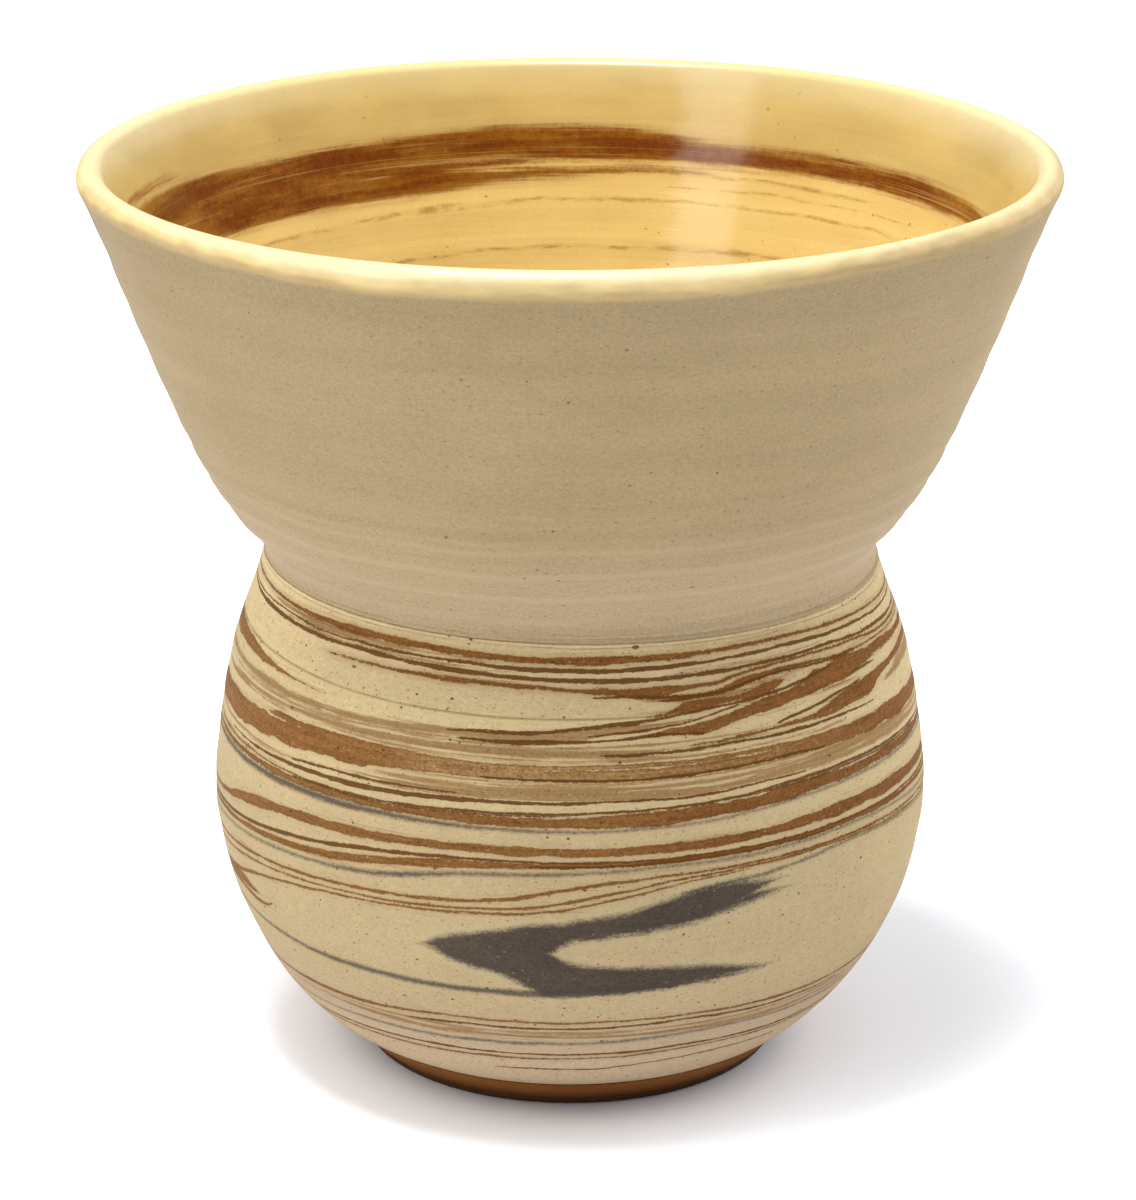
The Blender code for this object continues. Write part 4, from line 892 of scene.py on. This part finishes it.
def make_bowl(mat):
    top = seam_height(PHI)[None, :] + 0.40
    ledge = ledge_height(PHI)[None, :]

    def between(low, high, count, last=False):
        t = np.linspace(0, 1, count, endpoint=last)[:, None]
        return (1 - t) * low + t * high

    base = np.full((1, COLUMNS), 3.25)
    z_out = np.vstack([between(base, ledge - 0.5, 138), between(ledge - 0.5, ledge + 0.5, 17),
                       between(ledge + 0.5, top - 1.2, 20), between(top - 1.2, top, 26, True)])
    rows = len(z_out)
    r_out = bowl_radius(z_out, PHI[None, :])
    seam = seam_height(PHI)[None, :] - z_out
    r_out = r_out - 0.035 * np.exp(-((seam - 0.36) / 0.09) ** 2) - 0.28 * smoothstep(0.08, -0.22, seam)   # tucks under the slip
    inner = [(28.7, 51.0), (28.7, 52.9)]
    wall = [(r + 0.45, z) for z, r in INSIDE[:11] if z < 52][::-1]
    hidden = np.array(inner + wall, float)
    hr, hz = grid(hidden)
    radius = np.vstack([np.full((1, COLUMNS), 15.1), np.full((1, COLUMNS), 15.1), r_out, hr])
    height = np.vstack([np.full((1, COLUMNS), 1.6), np.full((1, COLUMNS), 3.25), z_out, hz])
    share = np.ones(len(radius) - 1)
    share[0:2] = 0.5
    share[2 + rows - 1:] = 0.12
    obj = turned("marbled_bowl_skin", radius, height, mat, closed=False, low_pole=1.6, high_pole=8.0, share=share)
    wash = smoothstep(-34, -18, DEG) * smoothstep(62, 30, DEG)
    # painted light on the front-left band of the shoulder
    bright = smoothstep(-75, -45, DEG) * smoothstep(18, 2, DEG)
    add_attribute(obj, "ledge", np.stack([ledge_height(PHI), ledge_weight(PHI), wash], -1))
    # the right side, where the brown is redder and darker, and painted light on the left shoulder
    right = smoothstep(4, 30, DEG) * smoothstep(175, 140, DEG)
    left = smoothstep(-40, -62, DEG) * smoothstep(-125, -90, DEG)
    add_attribute(obj, "painted_light_and_tone", np.stack([bright, right, left], -1))
    return obj


def make_slip(mat):
    low = seam_height(PHI)[None, :]
    t, u = np.linspace(0, 1, 14, endpoint=False)[:, None], np.linspace(0, 1, 142)[:, None]
    z = np.vstack([low + 1.0 * t, (1 - u) * (low + 1.0) + u * (HEIGHT - 2.7)])
    rows = len(z)
    r = collar_radius(z, PHI[None, :])
    up = z - low
    r = r - 0.06 * np.exp(-(up / 0.07) ** 2) - 0.03 * np.exp(-((up - 0.45) / 0.10) ** 2)
    r = r - 0.30 * smoothstep(HEIGHT - 3.6, HEIGHT - 3.1, z)
    back_t = np.linspace(1, 0, 12)[:, None]
    zb = (1 - back_t) * low + back_t * (HEIGHT - 2.7)
    rb = collar_radius(zb, PHI[None, :]) - 0.62
    share = np.ones(rows + 12)
    share[rows - 1:] = 0.12
    obj = turned("collar_slip_skin", np.vstack([r, rb]), np.vstack([z, zb]), mat, closed=True, share=share)
    add_attribute(obj, "seam", np.stack([seam_height(PHI)] * 3, -1))
    return obj


def inside_radius(z, phi):
    """The glazed inner wall, with soft throwing rings that climb in a spiral."""
    r = smoothed(INSIDE, z, 0.9)
    turn = z + phi / (2 * math.pi) * 3.6
    return r + 0.03 * np.sin(turn * 2 * math.pi / 3.6) * smoothstep(10, 16, z) * smoothstep(HEIGHT - 3.4, HEIGHT - 8, z)


def make_rim(mat):
    """The lip: a bead of glaze that laps the slip outside and the lining inside."""
    bead = 1.3                                     # radius of the rounded lip
    mid_r, mid_z = RIM_RADIUS - bead, HEIGHT - bead
    low_a, high_a = math.radians(-19), math.radians(156)
    out_z, in_z = mid_z + bead * math.sin(low_a), mid_z + bead * math.sin(high_a)
    rows_r, rows_z, run = [], [], []
    wave = 0.05 * np.sin(3 * PHI + 0.7) + 0.035 * np.sin(7 * PHI + 2.0)

    def row(r, z, along):
        rows_r.append(r)
        rows_z.append(z + np.zeros(COLUMNS))
        run.append(along)

    def outer(z):
        return collar_radius(np.full(COLUMNS, z), PHI)

    def inner(z):
        return inside_radius(np.full(COLUMNS, z), PHI)

    oval = 0.05 * np.sin(2 * PHI + 1.1)
    swell = mid_r + bead * math.cos(low_a) + oval - outer(out_z)
    gap = mid_r + bead * math.cos(high_a) + oval - inner(in_z)
    start, end = bead * (math.pi / 2 - low_a), bead * (high_a - math.pi / 2)
    # out from under the slip at a slant too shallow to see, then up the outside
    for down, sink in ((5.0, -0.45), (4.85, -0.10), (4.6, -0.016), (4.35, -0.008), (4.1, 0.0), (3.85, 0.006)):
        row(outer(HEIGHT - down) + sink, HEIGHT - down, start + out_z - HEIGHT + down)
    for z in np.linspace(HEIGHT - 3.6, out_z, 16, endpoint=False):
        row(outer(z) + 0.008 + swell * smoothstep(HEIGHT - 4.0, out_z + 0.25, z), z, start + out_z - z)
    for a in np.linspace(low_a, high_a, 33):
        row(mid_r + bead * math.cos(a) + oval, mid_z + bead * math.sin(a) + 0.6 * wave * max(math.sin(a), 0.0), bead * (math.pi / 2 - a))
    for z in np.linspace(in_z, HEIGHT - 4.6, 22)[1:]:
        row(inner(z) - 0.008 + gap * smoothstep(HEIGHT - 3.6, in_z, z), z, -end - (in_z - z))
    # back under the lining the same way, and through the wall
    for down, sink in ((4.85, -0.004), (5.1, 0.002), (5.35, 0.008), (5.6, 0.016), (5.8, 0.10), (5.95, 0.45)):
        row(inner(HEIGHT - down) + sink, HEIGHT - down, -end - (in_z - HEIGHT + down))
    row(inner(HEIGHT - 1.9) + 0.62, HEIGHT - 1.9, -5.0)
    row(outer(HEIGHT - 1.9) - 0.62, HEIGHT - 1.9, 5.0)
    radius, height = np.array(rows_r), np.array(rows_z)
    share = np.ones(len(radius))
    share[-4:] = 0.12
    obj = turned("rim_glaze_bead", radius, height, mat, closed=True, share=share)
    data = np.zeros((len(obj.data.vertices), 3), np.float32)
    data[:, 0] = np.repeat(np.array(run, np.float32), COLUMNS)
    thin = smoothstep(8, 48, DEG) * smoothstep(165, 120, DEG)                     # the glaze is thinner along the right
    data[:, 1] = np.tile(thin.astype(np.float32), len(run))
    lower = 0.85 * smoothstep(-62, -22, DEG) * smoothstep(42, 8, DEG)               # it runs lower at the front, and is honey at the back
    data[:, 2] = np.tile((lower - smoothstep(105, 150, np.abs(DEG))).astype(np.float32), len(run))
    layer = obj.data.attributes.new("rim", "FLOAT_VECTOR", "POINT")
    layer.data.foreach_set("vector", data.ravel())
    return obj


def make_lining(mat):
    top = HEIGHT - 3.2
    zs = np.concatenate([np.linspace(8.45, 12.0, 26, endpoint=False), np.linspace(12.0, top, 160)])
    height = np.repeat(zs[:, None], COLUMNS, 1)
    radius = inside_radius(height, PHI[None, :])
    sharp = pchip([p[0] for p in INSIDE], [p[1] for p in INSIDE], height)
    radius = np.where(height < 11.0, sharp + (radius - sharp) * smoothstep(9.3, 11.0, height), radius)
    radius = radius + 0.25 * smoothstep(HEIGHT - 4.3, HEIGHT - 3.8, height)
    flat = np.linspace(0.4, 10.6, 14)
    flat_r = np.repeat(flat[:, None], COLUMNS, 1)
    spiral = 0.10 * np.sin(flat_r * 2 * math.pi / 3.4 + PHI[None, :])
    flat_z = 8.45 + spiral * smoothstep(0.6, 2.5, flat_r) * smoothstep(10.8, 8.0, flat_r)
    back_z = np.linspace(top, 8.15, 16)
    back_r = pchip([p[0] for p in INSIDE], [p[1] for p in INSIDE], np.maximum(back_z, 8.45)) + 0.45
    br = np.repeat(back_r[:, None], COLUMNS, 1)
    bz = np.repeat(back_z[:, None], COLUMNS, 1)
    br = np.vstack([br, np.full((1, COLUMNS), 6.0)])
    bz = np.vstack([bz, np.full((1, COLUMNS), 8.12)])
    share = np.ones(len(flat) + len(zs) + len(br) - 1)
    share[len(flat) + len(zs) - 1:] = 0.1
    return turned("inner_glaze_lining", np.vstack([flat_r, radius, br]), np.vstack([flat_z, height, bz]), mat,
                  closed=False, low_pole=8.45, high_pole=8.12, share=share)


def make_collar(mat):
    zo = np.linspace(51.6, HEIGHT - 1.7, 24)
    ro = smoothed(COLLAR_OUT, zo, 0.55) - 0.85
    zi = np.linspace(HEIGHT - 1.7, 53.4, 24)
    ri = pchip([p[0] for p in INSIDE], [p[1] for p in INSIDE], zi) + 0.62
    profile = np.vstack([np.stack([ro, zo], -1), np.stack([ri, zi], -1), [[29.0, 53.4]], [[29.0, 51.6]]])
    radius, height = grid(profile)
    return turned("collar_body", radius, height, mat, closed=True)


def make_foot(mat):
    rows = []
    for t in np.linspace(0, 1, 16):
        z = 3.15 - t * 2.25
        rows.append((22.95 - 1.95 * t + 0.16 * math.sin(math.pi * t) + 0.03 * math.sin(t * 18), z))
    for a in np.linspace(0, 90, 10)[1:]:
        rows.append((20.00 + 1.0 * math.cos(math.radians(a)), 0.9 - 0.9 * math.sin(math.radians(a))))
    rows += [(18.6, 0.0), (17.2, 0.0)]
    for a in np.linspace(0, 90, 7):
        rows.append((16.0 - 0.5 * math.sin(math.radians(a)), 0.5 - 0.5 * math.cos(math.radians(a))))
    rows += [(15.5, 1.4), (15.5, 2.3), (15.5, 3.1)]
    for r in np.linspace(15.6, 22.4, 6):
        rows.append((r, 3.15))
    radius, height = grid(rows)
    share = np.ones(len(rows))
    share[-7:] = 0.15
    return turned("foot_turned", radius, height, mat, closed=True, share=share)


bowl = make_bowl(marbled_clay())
for key, veins in (("brown", BROWN), ("dark", DARK), ("pale", PALE), ("grey", GREY), ("fold", FOLD)):
    store_veins(bowl, key, veins)
slip = make_slip(pale_slip())
rim = make_rim(rim_glaze())
lining = make_lining(honey_glaze())
store_veins(lining, "glaze", GLAZE_VEINS)
store_veins(lining, "line", GLAZE_LINES)
add_attribute(bowl, "seam", np.stack([seam_height(PHI)] * 3, -1))
collar = make_collar(collar_clay())
foot = make_foot(brown_clay())

for piece, node, slot in (
    (bowl, "marbled_bowl", "marbled_clay"),
    (slip, "collar_slip", "pale_slip"),
    (rim, "rim_glaze", "rim_glaze"),
    (lining, "inner_glaze", "honey_glaze"),
    (collar, "flared_collar", "collar_clay"),
    (foot, "foot_ring", "brown_clay"),
):
    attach(piece, "root")
    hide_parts(node)

# ---------------------------------------------------------------------------
# Floor, light and camera
# ---------------------------------------------------------------------------
floor_mat = bpy.data.materials.new("studio_floor")
floor_mat.use_nodes = True
shade = floor_mat.node_tree.nodes["Principled BSDF"]
shade.inputs["Base Color"].default_value = (0.945, 0.955, 1.0, 1.0)
shade.inputs["Roughness"].default_value = 0.6
shade.inputs["Specular IOR Level"].default_value = 0.2
floor_mesh = bpy.data.meshes.new("studio_floor")
floor_mesh.from_pydata([(-3, -3, 0), (3, -3, 0), (3, 3, 0), (-3, 3, 0)], [], [(0, 1, 2, 3)])
floor_mesh.materials.append(floor_mat)
floor = bpy.data.objects.new("studio_floor", floor_mesh)
bpy.context.scene.collection.objects.link(floor)

world = bpy.data.worlds.new("studio")
bpy.context.scene.world = world
world.use_nodes = True
back = world.node_tree.nodes["Background"]
back.inputs[0].default_value = (0.965, 0.98, 1.0, 1.0)
sky = world.node_tree.nodes.new("ShaderNodeTexCoord")
split = world.node_tree.nodes.new("ShaderNodeSeparateXYZ")
rise = world.node_tree.nodes.new("ShaderNodeMapRange")      # a dim room under a bright ceiling
rise.inputs["From Min"].default_value = 0.66
rise.inputs["From Max"].default_value = 0.97
rise.inputs["To Min"].default_value = 0.20
rise.inputs["To Max"].default_value = 1.05
world.node_tree.links.new(sky.outputs["Generated"], split.inputs[0])
world.node_tree.links.new(split.outputs[2], rise.inputs["Value"])
world.node_tree.links.new(rise.outputs[0], back.inputs[1])


def area(name, place, target, size, power, colour):
    data = bpy.data.lights.new(name, "AREA")
    data.shape = "RECTANGLE"
    data.size, data.size_y = size
    data.energy = power
    data.color = colour
    obj = bpy.data.objects.new(name, data)
    p, t = np.array(place, float), np.array(target, float)
    d = (t - p) / np.linalg.norm(t - p)
    obj.location = place
    obj.rotation_euler = Vector(d).to_track_quat("-Z", "Y").to_euler()
    bpy.context.scene.collection.objects.link(obj)
    return obj


area("window_left", (-0.69, -0.69, 0.60), (0, 0, 0.06), (0.34, 1.00), 4.25, (1.0, 0.995, 0.975))
side_left = area("side_left", (-1.05, 0.10, 0.48), (0, 0, 0.05), (1.4, 1.0), 3.9, (1.0, 1.0, 0.985))
high_left = area("high_left", (-0.75, -0.20, 1.05), (0, 0, 0.05), (0.9, 0.9), 5.0, (1.0, 1.0, 0.985))
side_right = area("side_right", (1.00, 0.30, 0.60), (0, 0, 0.05), (1.4, 1.2), 16.5, (0.94, 0.965, 1.0))
area("overhead", (-0.12, -0.09, 1.20), (0, 0, 0.05), (0.42, 0.42), 19.5, (1.0, 1.0, 1.0))
high_left.visible_glossy = False
side_left.visible_glossy = False
side_right.visible_glossy = False

camera = bpy.data.cameras.new("camera")
camera.sensor_fit = "AUTO"
camera.sensor_width = 36.0
camera.lens = 4417.0 / 1200.0 * 36.0
camera.clip_start = 0.01
eye = bpy.data.objects.new("camera", camera)
eye.location = (0.0, -0.41756, 0.18470)
eye.rotation_euler = (math.pi / 2 - 0.3218, 0.0, 2.0 / 4417.0)
bpy.context.scene.collection.objects.link(eye)
bpy.context.scene.camera = eye

view = bpy.context.scene.view_settings
view.view_transform = "Standard"
view.look = "None"
view.exposure = 0.0
view.gamma = 1.0
